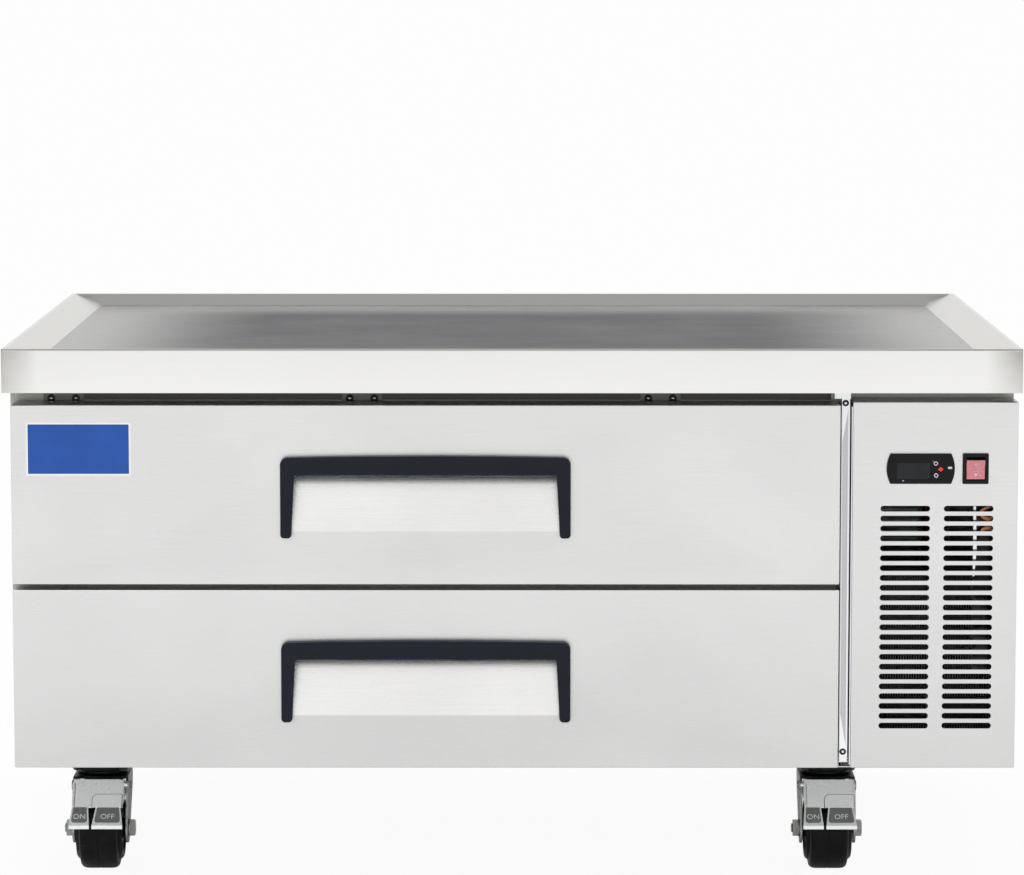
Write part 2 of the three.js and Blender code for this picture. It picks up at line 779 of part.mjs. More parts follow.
// Frame that carries the food pans, with the inner slide members on its sides
function panFrame() {
  const y0 = panFrameY;
  const y1 = panFrameEnd;
  const z0 = slideRise;
  const side = innerWebX - slideSteel;
  const outer = block([-side, y0, z0], [side, y1, panFrameTop]);
  const room = block(
    [-side + slideSteel, y0 + slideSteel, z0 - overrun],
    [side - slideSteel, y1 - slideSteel, panFrameTop - slideSteel],
  );
  const panHole = block(
    [-side + ledgeWidth, y0 + ledgeWidth, z0],
    [side - ledgeWidth, y1 - ledgeWidth, panFrameTop + overrun],
  );
  const memberZ = slideRise + 2 * step;
  const member = (sign) => {
    const web = [side - weld, innerWebX].map((x) => x * sign).sort((a, b) => a - b);
    const reach = midWebX - slideSteel - slideGap;
    const lip = [innerWebX - slideSteel, reach].map((x) => x * sign).sort((a, b) => a - b);
    const high = memberZ + slideHeight - 4 * step;
    return [
      block([web[0], slideY0, memberZ], [web[1], slideY1, high]),
      block([lip[0], slideY0, memberZ], [lip[1], slideY1, memberZ + slideSteel]),
      block([lip[0], slideY0, high - slideSteel], [lip[1], slideY1, high]),
    ];
  };
  return cut(outer, [room, panHole]).add(join([...member(1), ...member(-1)]));
}

function mirrored(solid) {
  return solid.mirror([1, 0, 0]);
}

function drawer({ name, z }) {
  const group = new THREE.Group();
  group.position.set(drawerX, 0, z);
  group.add(
    piece(name + "_drawer_shell", drawerShell(), brushedSteel()),
    piece(name + "_drawer_foam", drawerFoam(), foamYellow()),
    piece(name + "_drawer_liner", drawerLiner(), linerAluminium()),
    piece(name + "_drawer_gasket", gasket(), greyRubber()),
    piece(name + "_drawer_handle", handle(), blackPlastic()),
    piece(name + "_pan_frame", panFrame(), slideSteelLook()),
    piece(name + "_slide_mid_right", slideMid(), slideSteelLook()),
    piece(name + "_slide_mid_left", mirrored(slideMid()), slideSteelLook()),
  );
  return group;
}

function railFrames() {
  const group = new THREE.Group();
  group.position.set(drawerX, 0, 0);
  group.add(
    piece("rail_frame_right", railFrame(), slideSteelLook()),
    piece("rail_frame_left", mirrored(railFrame()), slideSteelLook()),
  );
  return group;
}

// Casters are drawn about the swivel axis, from the floor, with the wheel trailing to the front
function casterPlate() {
  const top = casterHeight - fit;
  const plateZ = top - plateSteel;
  const raceZ = plateZ - racewayHeight;
  const forkZ = raceZ - fit - forkSteel;
  const plate = block([-plateWidth / 2, -plateDepth / 2, plateZ], [plateWidth / 2, plateDepth / 2, top]);
  const raceway = turned("z", [
    [0, plateZ + weld],
    [racewayRadius - racewayLip, plateZ + weld],
    [racewayRadius, plateZ - racewayLip],
    [racewayRadius, raceZ + racewayLip],
    [racewayRadius - racewayLip, raceZ],
    [kingpinRadius, raceZ],
    [kingpinRadius, forkZ - fit],
    [kingpinHead, forkZ - fit],
    [kingpinHead, forkZ - fit - kingpinHeadHeight],
    [0, forkZ - fit - kingpinHeadHeight],
  ]);
  return plate.add(raceway);
}

function forkLeg(x0, x1) {
  const topZ = casterHeight - fit - plateSteel - racewayHeight - fit;
  const shape = new THREE.Shape();
  shape.moveTo(-forkFront, topZ);
  shape.lineTo(-forkFront - forkLegRadius / 2, topZ - forkLegRadius);
  shape.lineTo(-trail - forkLegRadius, wheelRadius);
  shape.absarc(-trail, wheelRadius, forkLegRadius, Math.PI, forkLegArcEnd);
  shape.lineTo(forkBack - forkSteel, topZ - forkLegRadius);
  shape.lineTo(forkBack, topZ);
  shape.closePath();
  return alongX(shape, x0, x1, 4);
}

function fork(braked) {
  const topZ = casterHeight - fit - plateSteel - racewayHeight - fit;
  const w = forkWidth / 2;
  const bridge = block([-w, -forkFront, topZ - forkSteel], [w, forkBack, topZ]);
  const legs = [forkLeg(-w, -w + forkSteel), forkLeg(w - forkSteel, w)];
  const holes = [
    bar("z", kingpinRadius + fit, topZ - forkSteel - overrun, topZ + overrun, [0, 0]),
    bar("x", axleRadius + fit, -w - overrun, w + overrun, [-trail, wheelRadius]),
  ];
  if (braked) {
    const pivot = [-pedalPivotForward, pedalPivotZ];
    holes.push(bar("x", pedalPivotRadius + fit, -w - overrun, w + overrun, pivot));
  }
  return cut(join([bridge, ...legs]), holes);
}

function wheel() {
  const tread = treadWidth / 2;
  const guard = guardWidth / 2;
  const hub = hubWidth / 2;
  const bore = axleRadius + fit;
  const side = [
    [bore, hub],
    [hubRadius, hub],
    [hubRadius, guard],
    [guardRadius, guard],
    [guardRadius + guard - tread, tread],
    [wheelRadius - treadEdge, tread],
    [wheelRadius, tread - treadEdge],
  ];
  const other = side.map(([r, along]) => [r, -along]).reverse();
  const profile = [...side, ...other, side[0]];
  return turned("x", profile).translate([0, -trail, wheelRadius]);
}

function axle() {
  const w = forkWidth / 2 + fit;
  const radius = boltFlats / Math.sqrt(3);
  const place = [-trail, wheelRadius];
  return join([
    bar("x", axleRadius, -w - weld, w + weld, place),
    bar("x", radius, w, w + boltHead, place, hexSides),
    bar("x", radius, -w - boltNut, -w, place, hexSides),
  ]);
}

// Stamped brake pedal: a plate across the front, an ON tab and an OFF tab, and two pivoted cheeks
function brakePedal() {
  const w = forkWidth / 2 - forkSteel - slideGap;
  const topPoint = [-pedalTopForward, pedalTopZ];
  const footPoint = [-pedalFootForward, pedalFootZ];
  const behind = ([y, z]) => [y + pedalSteel, z];
  const plate = alongX(outline([topPoint, footPoint, behind(footPoint), behind(topPoint)]), -w, w);
  const onWidth = 2 * w * onTabShare;
  const tabs = [
    [-w, -w + onWidth],
    [-w + onWidth + pedalTabGap, w],
  ].map(([x0, x1]) => pedalTab(x0, x1));
  const cheek = outline([
    topPoint,
    footPoint,
    [-pedalPivotForward - pedalEarRadius, pedalPivotZ - pedalCheekDrop],
    [-pedalPivotForward + pedalEarRadius, pedalPivotZ - pedalEarRadius],
    [-pedalPivotForward + pedalEarRadius, pedalPivotZ + pedalEarRadius / 2],
    [-pedalPivotForward, pedalPivotZ + pedalEarRadius],
  ]);
  const cheeks = [alongX(cheek, -w, -w + pedalSteel), alongX(cheek, w - pedalSteel, w)];
  const pivot = [-pedalPivotForward, pedalPivotZ];
  const outside = forkWidth / 2 - fit;
  const pins = [
    bar("x", pedalPivotRadius, -outside, -w + weld, pivot),
    bar("x", pedalPivotRadius, w - weld, outside, pivot),
  ];
  return join([plate, ...tabs, ...cheeks, ...pins]);
}

function pedalTab(x0, x1) {
  const y0 = -pedalFootForward;
  const z0 = pedalFootZ;
  const shape = outline([
    [y0, z0 + weld],
    [y0 - pedalTabRun, z0 - pedalTabDrop],
    [y0 - pedalTabRun, z0 - pedalTabDrop - pedalTabLip],
    [y0 - pedalTabRun + pedalSteel, z0 - pedalTabDrop - pedalTabLip],
    [y0 + pedalSteel, z0],
  ]);
  return alongX(shape, x0, x1);
}

function caster(name, x, y, braked) {
  const group = new THREE.Group();
  group.position.set(x, y, 0);
  group.add(
    piece(name + "_caster_plate", casterPlate(), blackPaint()),
    piece(name + "_caster_fork", fork(braked), zinc()),
    piece(name + "_caster_wheel", wheel(), darkRubber()),
    piece(name + "_caster_axle", axle(), zinc()),
  );
  if (braked) group.add(piece(name + "_brake_pedal", brakePedal(), zinc()));
  return group;
}

// Front panel of the machine compartment: a pan with two columns of slots and two cut-outs
function grillePanel() {
  const x1 = bodyHalf;
  const y1 = frameY - fit;
  const outer = block([panelX, faceY, panelBottom], [x1, y1, panelTop]);
  const inner = block(
    [panelX + sheet, faceY + sheet, panelBottom + sheet],
    [x1 - sheet, y1 + overrun, panelTop - sheet],
  );
  const slots = [];
  const slotRoom = panelTop - panelBottom - slotFirstDrop - slotFoot;
  for (let column = 0; column < slotColumns; column++) {
    for (let row = 0; row * slotPitch <= slotRoom; row++) {
      const shape = roundedRectangle(slotLength, slotHeight, slotHeight / 2);
      const x = panelX + slotColumnInset + column * slotColumnPitch;
      const z = panelTop - slotFirstDrop - row * slotPitch;
      slots.push(alongY(shape, faceY - overrun, faceY + sheet + overrun, 1).translate([x, 0, z]));
    }
  }
  const z = panelTop - controlsDrop;
  const opening = (x, w, h) =>
    block(
      [x - w / 2 - fit, faceY - overrun, z - h / 2 - fit],
      [x + w / 2 + fit, faceY + sheet + overrun, z + h / 2 + fit],
    );
  const openings = [
    opening(panelX + controllerInset, controllerBodyWidth, controllerBodyHeight),
    opening(panelX + switchInset, switchWidth - 2 * switchBodyMargin, switchHeight - 2 * switchBodyMargin),
  ];
  return cut(outer, [inner, ...slots, ...openings]);
}

// Places of the controller's keys from its middle, as shares of its width and height
const keyPlaceShares = [
  { name: "up", x: 0.217, z: 0.176 },
  { name: "set", x: 0.29, z: -0.014 },
  { name: "down", x: 0.224, z: -0.216 },
];

// Controller, drawn about the middle of its bezel's back
function controllerBody() {
  const w = controllerWidth / 2;
  const h = controllerHeight / 2;
  const shape = new THREE.Shape();
  shape.moveTo(-w + controllerBulge, -h);
  shape.lineTo(w - controllerBulge, -h);
  shape.quadraticCurveTo(w + controllerBulge, 0, w - controllerBulge, h);
  shape.lineTo(-w + controllerBulge, h);
  shape.quadraticCurveTo(-w - controllerBulge, 0, -w + controllerBulge, -h);
  const bezel = alongY(shape, -controllerProud, 0, 6);
  const body = block(
    [-controllerBodyWidth / 2, -weld, -controllerBodyHeight / 2],
    [controllerBodyWidth / 2, controllerBodyDepth, controllerBodyHeight / 2],
  );
  const holes = keyPlaceShares.map(({ x, z }) =>
    bar(
      "y",
      keyRadius + keyGap,
      -controllerProud - overrun,
      -controllerProud - keyProud + keyDepth + keyTravel + fit,
      [x * controllerWidth, z * controllerHeight],
    ),
  );
  return cut(bezel.add(body), holes);
}

function controls() {
  const group = new THREE.Group();
  group.position.set(panelX, faceY - fit, panelTop - controlsDrop);
  const controller = new THREE.Group();
  controller.position.x = controllerInset;
  controller.add(piece("controller", controllerBody(), glossBlack()));
  keyPlaceShares.forEach(({ name, x, z }) => {
    const from = -controllerProud - keyProud;
    const key = bar("y", keyRadius, from, from + keyDepth, [0, 0]);
    const mesh = piece("controller_key_" + name, key, name === "set" ? keyRed() : keyWhite());
    mesh.position.set(x * controllerWidth, 0, z * controllerHeight);
    controller.add(mesh);
  });
  const rockerSwitch = new THREE.Group();
  rockerSwitch.position.x = switchInset;
  rockerSwitch.add(piece("switch_body", switchBody(), blackPlastic()));
  const paddle = piece("switch_rocker", rocker(), rockerRed());
  paddle.position.y = rockerPivotY;
  paddle.rotation.x = THREE.MathUtils.degToRad(rockerTilt);
  rockerSwitch.add(paddle);
  group.add(controller, rockerSwitch);
  return group;
}

function switchBody() {
  const bezel = alongY(roundedRectangle(switchWidth, switchHeight, switchCorner), -switchProud, 0, 2);
  const w = switchWidth / 2 - switchBodyMargin;
  const h = switchHeight / 2 - switchBodyMargin;
  const body = block([-w, -weld, -h], [w, switchBodyDepth, h]);
  const rockW = rockerWidth / 2 + rockerGap;
  const rockH = rockerHeight / 2 + rockerGap;
  const room = block([-rockW, -switchProud - overrun, -rockH], [rockW, rockerPivotY + rockerDepth, rockH]);
  const pinHoles = bar("x", rockerPin + fit, -w - overrun, w + overrun, [rockerPivotY, 0]);
  return cut(bezel.add(body), [room, pinHoles]);
}

// Rocker paddle about its pivot: a shallow V outside and a half-round back
function rocker() {
  const h = rockerHeight / 2;
  const front = -rockerDepth;
  const dip = h * Math.tan(THREE.MathUtils.degToRad(rockerTilt));
  const narrow = h - dip;
  const shape = outline([
    [front - dip / 2, -narrow],
    [front + dip / 2, 0],
    [front - dip / 2, narrow],
    [-rockerBevel, narrow - rockerBevel],
    [rockerProud, 0],
    [-rockerBevel, -narrow + rockerBevel],
  ]);
  const w = rockerWidth / 2;
  const pinReach = switchWidth / 2 - switchBodyMargin - fit;
  return alongX(shape, -w, w).add(bar("x", rockerPin, -pinReach, pinReach, [0, 0]));
}

// Sheet tray that slides out with the machinery
function unitTray() {
  const x0 = dividerX + trayInset;
  const x1 = bodyHalf - sheet - trayInset;
  const y0 = frameY + trayFront;
  const y1 = bodyBack - trayRearGap;
  const outer = block([x0, y0, machineFloor], [x1, y1, machineFloor + trayLip]);
  const inner = block(
    [x0 + sheet, y0 - overrun, machineFloor + sheet],
    [x1 - sheet, y1 + overrun, machineFloor + trayLip + overrun],
  );
  return outer.subtract(inner);
}

// Finned coil with end plates, and the discharge line that comes to it from the compressor
function condenser() {
  const w = condenserWidth / 2;
  const core = finned(
    [machineX - w, condenserY, trayTop],
    [machineX + w, condenserY + condenserDepth, condenserTop],
  );
  const start = new THREE.Vector3(canX - stubOffset, canY, compressorTop() + stubHeight + fit);
  const inlet = new THREE.Vector3(machineX - w + stubRadius, condenserY + condenserDepth / 2, condenserTop);
  const run = pipe([
    start,
    new THREE.Vector3(start.x, start.y, start.z + stubHeight),
    new THREE.Vector3(inlet.x, start.y - stubOffset * 2, start.z + lineBend),
    new THREE.Vector3(inlet.x, inlet.y + lineBend, start.z + lineBend),
    new THREE.Vector3(inlet.x, inlet.y, start.z + stubHeight),
    new THREE.Vector3(inlet.x, inlet.y, inlet.z - stubRadius),
  ]);
  return core.add(run);
}

// A coil between two corners, with upright grooves between its fins in front
function finned([x0, y0, z0], [x1, y1, z1]) {
  const grooves = [];
  for (let x = x0 + endPlate + finGroove; x < x1 - endPlate - finGroove; x += finPitch) {
    const groove = block(
      [x, y0 - overrun, z0 + endPlate],
      [x + finGroove, y0 + finGrooveDepth, z1 - endPlate],
    );
    grooves.push(groove);
  }
  return cut(block([x0, y0, z0], [x1, y1, z1]), grooves);
}

// A tube along a smooth curve through points
function pipe(points, radius = pipeRadius) {
  const section = new THREE.Shape().absarc(0, 0, radius, 0, Math.PI * 2);
  const geometry = new THREE.ExtrudeGeometry(section, {
    steps: pipeSteps,
    curveSegments: pipeSides / 2,
    extrudePath: new THREE.CatmullRomCurve3(points, false, "centripetal"),
  });
  return solidOf(geometry);
}

// Fan shroud behind the condenser, with a motor held on two arms
function fanShroud() {
  const w = condenserWidth / 2;
  const y0 = condenserY + condenserDepth + fit;
  const y1 = y0 + shroudDepth;
  const z = trayTop + condenserHeight / 2;
  const outer = block([machineX - w, y0, trayTop], [machineX + w, y1, condenserTop]);
  const inner = block(
    [machineX - w + shroudSteel, y0 - overrun, trayTop + shroudSteel],
    [machineX + w - shroudSteel, y1 - shroudSteel, condenserTop - shroudSteel],
  );
  const mouthY = y1 - shroudSteel - overrun;
  const mouth = bar("y", fanRadius + fanTip, mouthY, y1 + overrun, [machineX, z], roundSides);
  return cut(outer, [inner, mouth]).add(motor(machineX, y1, z, condenserHeight / 2));
}

// Motor behind a fan's mouth, on two upright arms that reach the plate round it
function motor(x, y, z, reach) {
  const arms = block(
    [x - motorArm / 2, y - weld, z - reach],
    [x + motorArm / 2, y + shroudSteel, z + reach],
  );
  const can = bar("y", motorRadius, y, y + motorLength, [x, z], roundSides);
  const shaft = bar("y", motorShaft, y - bladeSweep(fanRadius), y + weld, [x, z]);
  return join([arms, can, shaft]);
}

// How far back a fan's turning blades reach from its middle
function bladeSweep(radius) {
  const pitch = THREE.MathUtils.degToRad(bladePitch);
  const widest = Math.max(...bladeTipShares.map(({ across }) => across));
  return radius * bladeWidthShare * widest * Math.sin(pitch) + bladeThickness / 2;
}

// A fan about its own axis along y: a hub with a bore for the shaft, and pitched blades
function fan(radius) {
  const hub = bar("y", fanHub, -fanHubLength / 2, fanHubLength / 2, [0, 0], roundSides);
  const blades = [];
  for (let i = 0; i < bladeCount; i++) {
    const reach = radius * bladeWidthShare;
    const shape = outline([
      [-reach * bladeRootShare, fanHub / 2],
      [reach * bladeRootShare, fanHub / 2],
      ...bladeTipShares.map(({ across, out }) => [reach * across, radius * out]),
    ]);
    const blade = alongY(shape, -bladeThickness / 2, bladeThickness / 2);
    blades.push(blade.rotate([0, 0, bladePitch]).rotate([0, (i * 360) / bladeCount, 0]));
  }
  const bore = bar("y", motorShaft + fit, -fanHubLength, fanHubLength / 2 - bladeThickness, [0, 0]);
  return join([hub, ...blades]).subtract(bore.mirror([0, 1, 0]));
}

function compressorTop() {
  return trayTop + footHeight + compressorBaseSteel + canHeight;
}

// Hermetic compressor: a welded can on a base plate with four rubber feet, and two stubs
function compressor() {
  const baseZ = trayTop + footHeight;
  const canZ = baseZ + compressorBaseSteel;
  const top = compressorTop();
  const seam = canZ + canHeight * canSeamShare;
  const can = turned("z", [
    [0, canZ - weld],
    [canRadius - canDome / 2, canZ - weld],
    [canRadius, canZ + canDome / 2],
    [canRadius, seam],
    [canRadius + canSeam, seam],
    [canRadius + canSeam, seam + canSeamHeight],
    [canRadius, seam + canSeamHeight],
    [canRadius, top - canDome],
    [canRadius * canShoulderShare, top - canDome / 4],
    [canRadius * canCrownShare, top],
    [0, top],
  ]);
  const b = compressorBase / 2;
  const base = block([-b, -b, baseZ], [b, b, canZ]);
  const corner = b - footRadius;
  const feet = [-1, 1].flatMap((sx) =>
    [-1, 1].map((sy) => bar("z", footRadius, trayTop, baseZ + weld, [sx * corner, sy * corner])),
  );
  const stubs = [-1, 1].map((sx) =>
    bar("z", stubRadius, top - canDome, top + stubHeight, [sx * stubOffset, 0]),
  );
  return join([can, base, ...feet, ...stubs]).translate([canX, canY, 0]);
}

// Suction line from the evaporator to the compressor, with the liquid line and its drier joined to it
function refrigerantLines() {
  const wallX = drawerX + cavityHalf;
  const startX = wallX - evaporatorInset + fit;
  const bend = new THREE.Vector3(dividerX + trail, linePassY, linePassZ);
  const end = new THREE.Vector3(canX + stubOffset, canY, compressorTop() + stubHeight + fit);
  const straight = bar("x", pipeRadius, startX, bend.x, [linePassY, linePassZ]);
  const suction = pipe([
    new THREE.Vector3(bend.x - weld, bend.y, bend.z),
    new THREE.Vector3(bend.x + stubHeight, bend.y, bend.z),
    new THREE.Vector3(end.x, bend.y - lineBend, bend.z),
    new THREE.Vector3(end.x, end.y + lineBend, bend.z),
    new THREE.Vector3(end.x, end.y, bend.z - lineBend),
    end,
  ]);
  const outletX = machineX + condenserWidth / 2 - stubRadius;
  const outlet = new THREE.Vector3(outletX, condenserY + condenserDepth / 2, condenserTop + fit);
  const drierTop = outlet.z + stubHeight + drierNeck * 2 + drierLength;
  const drierProfile = [
    [0, drierTop - drierNeck * 2 - drierLength],
    [pipeRadius, drierTop - drierNeck * 2 - drierLength],
    [drierRadius, drierTop - drierNeck - drierLength],
    [drierRadius, drierTop - drierNeck],
    [pipeRadius, drierTop],
    [0, drierTop],
  ];
  const drier = turned("z", drierProfile, smallSides).translate([outlet.x, outlet.y, 0]);
  const foot = bar("z", pipeRadius, outlet.z, outlet.z + stubHeight + weld, [outlet.x, outlet.y]);
  const liquid = pipe([
    new THREE.Vector3(outlet.x, outlet.y, drierTop - weld),
    new THREE.Vector3(outlet.x, outlet.y, drierTop + stubHeight / 2),
    new THREE.Vector3(outlet.x, outlet.y + lineBend, bend.z + stubHeight),
    new THREE.Vector3(outlet.x, end.y, bend.z + stubHeight),
    new THREE.Vector3(outlet.x - stubHeight, bend.y - stubHeight, bend.z + stubHeight / 2),
    bend,
  ], liquidLineRadius);
  return join([straight, suction, drier, foot, liquid]);
}

// Electrical box behind the rear panel, with the recessed power inlet in its face
function electricalBox() {
  const y1 = bodyBack - sheet - fit;
  const x0 = machineX - boxWidth / 2;
  const body = block([x0, y1 - boxDepth, boxZ], [x0 + boxWidth, y1, boxZ + boxHeight]);
  const w = inletWidth / 2;
  const h = inletHeight / 2;
  const z = boxZ + boxHeight / 2;
  const collar = block([machineX - w, y1 - weld, z - h], [machineX + w, bodyBack, z + h]);
  const mouth = block(
    [machineX - w + inletMargin, bodyBack - inletRecess, z - h + inletMargin],
    [machineX + w - inletMargin, bodyBack + overrun, z + h - inletMargin],
  );
  return body.add(collar).subtract(mouth);
}

// Cover of the evaporator, open to the rear wall, with a fan mouth, a ring guard and a motor
function evaporatorHousing() {
  const y1 = cavityBack - fit;
  const outer = block([evaporatorX0, evaporatorY, evaporatorZ0], [evaporatorX1, y1, evaporatorZ1]);
  const inner = block(
    [evaporatorX0 + sheet, evaporatorY + sheet, evaporatorZ0 + sheet],
    [evaporatorX1 - sheet, y1 + overrun, evaporatorZ1 - sheet],
  );
  const mouthRadius = evaporatorFanRadius + fanTip;
  const centre = [evaporatorX, evaporatorZ];
  const innerY = evaporatorY + sheet;
  const mouth = bar("y", mouthRadius, evaporatorY - overrun, innerY + overrun, centre, roundSides);
  const guardY = evaporatorY + weld - grilleWire;
  const guard = fanGuard(mouthRadius).translate([evaporatorX, guardY, evaporatorZ]);
  const shaftEnd = evaporatorY + evaporatorFanSetback + fanHubLength / 2 - bladeThickness - fit;
  const shaft = bar("y", motorShaft, evaporatorY - weld, shaftEnd, centre);
  return join([cut(outer, [inner, mouth]), guard, shaft]);
}

// Wire guard over a fan's mouth: rings on two crossed spokes, from y 0 back
function fanGuard(mouthRadius) {
  const reach = mouthRadius + grilleWire;
  const wire = grilleWire / 2;
  const spokes = [
    block([-reach, 0, -wire], [reach, grilleWire, wire]),
    block([-wire, 0, -reach], [wire, grilleWire, reach]),
  ];
  const rings = [];
  for (let i = 1; i <= grilleRings; i++) {
    const inner = (mouthRadius * i) / (grilleRings + 1);
    const outer = inner + grilleWire;
    rings.push(
      turned("y", [
        [inner, 0],
        [outer, 0],
        [outer, grilleWire],
        [inner, grilleWire],
        [inner, 0],
      ]),
    );
  }
  return join([...spokes, ...rings]);
}

function evaporator() {
  const y1 = cavityBack - 2 * fit;
  const x0 = evaporatorX0 + sheet + coilMargin;
  const x1 = evaporatorX1 - sheet - fit;
  const z0 = evaporatorZ0 + sheet + fit;
  const z1 = evaporatorZ1 - sheet - coilMargin;
  const y0 = y1 - coilDepth;
  return finned([x0, y0, z0], [x1, y1, z1]);
}

function machinery() {
  const group = new THREE.Group();
  const shroudBack = condenserY + condenserDepth + fit + shroudDepth;
  const condenserFan = piece("condenser_fan", fan(fanRadius), blackPlastic());
  const fanY = shroudBack - weld - fanRunningGap - bladeSweep(fanRadius);
  condenserFan.position.set(machineX, fanY, trayTop + condenserHeight / 2);
  const turnedFan = fan(evaporatorFanRadius).mirror([0, 1, 0]);
  const evaporatorFan = piece("evaporator_fan", turnedFan, blackPlastic());
  evaporatorFan.position.set(evaporatorX, evaporatorY + evaporatorFanSetback, evaporatorZ);
  group.add(
    piece("grille_panel", grillePanel(), brushedSteel()),
    piece("unit_tray", unitTray(), galvanised()),
    piece("condenser", condenser(), finAluminium()),
    piece("fan_shroud", fanShroud(), blackPaint()),
    condenserFan,
    piece("compressor", compressor(), blackPaint()),
    piece("refrigerant_lines", refrigerantLines(), copper()),
    piece("electrical_box", electricalBox(), boxGrey()),
    piece("evaporator_housing", evaporatorHousing(), linerAluminium()),
    piece("evaporator", evaporator(), finAluminium()),
    evaporatorFan,
  );
  return group;
}

function cabinet() {
  const group = new THREE.Group();
  group.add(
    piece("worktop", worktop(), topSteel()),
    piece("cabinet_shell", cabinetShell(), brushedSteel()),
    piece("cabinet_foam", cabinetFoam(), foamYellow()),
    piece("cabinet_liner", cabinetLiner(), linerAluminium()),
    piece("back_panel", backPanel(), galvanised()),
    piece("front_frame", frontFrame(), brushedSteel()),
    piece("mullion_strip", mullionStrip(), brightSteel()),
  );
  return group;
}

const chefBase = new THREE.Group();
chefBase.name = "refrigerated_chef_base";
chefBase.add(cabinet(), railFrames(), machinery(), controls());
drawerPlaces.forEach((place) => chefBase.add(drawer(place)));
chefBase.add(
  caster("front_left", frontCasterX.left, frontCasterY, true),
  caster("front_right", frontCasterX.right, frontCasterY, true),
  caster("rear_left", rearCasterX.left, rearCasterY, false),
  caster("rear_right", rearCasterX.right, rearCasterY, false),
);

export default chefBase;
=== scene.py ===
import json
from math import atan2, cos, pi, radians, sin, sqrt, tan

import bmesh
import bpy
from mathutils import Matrix, Vector

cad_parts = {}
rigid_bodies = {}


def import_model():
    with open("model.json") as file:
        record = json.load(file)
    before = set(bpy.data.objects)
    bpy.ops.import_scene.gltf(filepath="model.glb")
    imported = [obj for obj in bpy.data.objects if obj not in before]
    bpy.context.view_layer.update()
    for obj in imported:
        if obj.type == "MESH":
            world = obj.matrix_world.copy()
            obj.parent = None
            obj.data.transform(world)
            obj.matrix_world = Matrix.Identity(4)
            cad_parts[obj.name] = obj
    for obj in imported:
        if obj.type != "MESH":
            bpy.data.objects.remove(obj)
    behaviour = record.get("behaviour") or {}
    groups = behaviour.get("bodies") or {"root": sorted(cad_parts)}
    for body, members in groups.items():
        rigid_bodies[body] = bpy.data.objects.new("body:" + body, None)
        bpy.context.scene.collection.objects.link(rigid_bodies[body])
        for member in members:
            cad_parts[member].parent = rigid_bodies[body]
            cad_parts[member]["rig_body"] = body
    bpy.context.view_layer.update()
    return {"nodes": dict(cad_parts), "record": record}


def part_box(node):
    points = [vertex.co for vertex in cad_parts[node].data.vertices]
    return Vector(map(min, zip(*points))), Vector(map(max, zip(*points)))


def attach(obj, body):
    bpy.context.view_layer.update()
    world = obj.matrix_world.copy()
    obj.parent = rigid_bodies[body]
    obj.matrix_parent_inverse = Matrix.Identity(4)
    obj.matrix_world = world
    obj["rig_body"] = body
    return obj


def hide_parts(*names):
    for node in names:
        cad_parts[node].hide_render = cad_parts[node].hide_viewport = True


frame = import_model()
scene = bpy.context.scene
MM = 0.001

# Sheet metal and general rounding
SHEET = 1.2 * MM
FOLD = 1.5 * MM  # outside radius of a folded sheet
EDGE = 0.25 * MM  # broken edge of a cut sheet
ROUND = 96  # sides of a large round form
SMALL_ROUND = 40
CREASE = 32  # degrees, from which an edge stays sharp

# Turns for a drawing with x to the right and y up, or for a lathe's z axis
FACE_FRONT = Matrix(((1, 0, 0, 0), (0, 0, -1, 0), (0, 1, 0, 0), (0, 0, 0, 1)))
FACE_RIGHT = Matrix(((0, 0, 1, 0), (1, 0, 0, 0), (0, 1, 0, 0), (0, 0, 0, 1)))
FACE_BACK = Matrix(((-1, 0, 0, 0), (0, 0, 1, 0), (0, 1, 0, 0), (0, 0, 0, 1)))

# The worktop's sheet, from its rim in to the deck
RIM_TURN = 1.9 * MM
TOP_SHEET = 1.5 * MM
RIDGE = 5.5 * MM
SLOPE_RUN = 34 * MM
SLOPE_DROP = 10 * MM
STEP_RUN = 7 * MM
STEP_DROP = 3 * MM
RIM_CORNER = 4 * MM

STRIP_GAP = 0.6 * MM  # between the upper drawer and the trim strip


def mm(*values):
    """Millimetres as metres; a tuple gives a tuple."""
    return [tuple(v * MM for v in value) if isinstance(value, tuple) else value * MM for value in values]


def middle(node):
    """The middle of a solid's box."""
    return [(a + b) / 2 for a, b in zip(*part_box(node))]


# Node tools

def added(tree, kind, inputs=None, **settings):
    """A new node with its settings, and its inputs set to values or linked to other nodes' outputs."""
    node = tree.nodes.new(kind)
    for name, value in settings.items():
        setattr(node, name, value)
    for name, value in (inputs or {}).items():
        if isinstance(value, bpy.types.NodeSocket):
            tree.links.new(value, node.inputs[name])
        else:
            node.inputs[name].default_value = value
    return node


def calculated(tree, operation, first, second=0.0):
    return added(tree, "ShaderNodeMath", {0: first, 1: second}, operation=operation).outputs[0]


def ramp(tree, value, low, high, start, end, smooth):
    """Low to high, as the value goes from start to end."""
    inputs = {"Value": value, "From Min": start, "From Max": end, "To Min": low, "To Max": high}
    kind = "SMOOTHSTEP" if smooth else "LINEAR"
    return added(tree, "ShaderNodeMapRange", inputs, interpolation_type=kind).outputs["Result"]


# Materials

# Stretch of a fine noise into grain lines along one axis
ALONG_X = (0.012, 1, 1)
ALONG_Y = (1, 0.012, 1)
ALONG_Z = (1, 1, 0.012)

LOOKS = {}  # every finish by its name


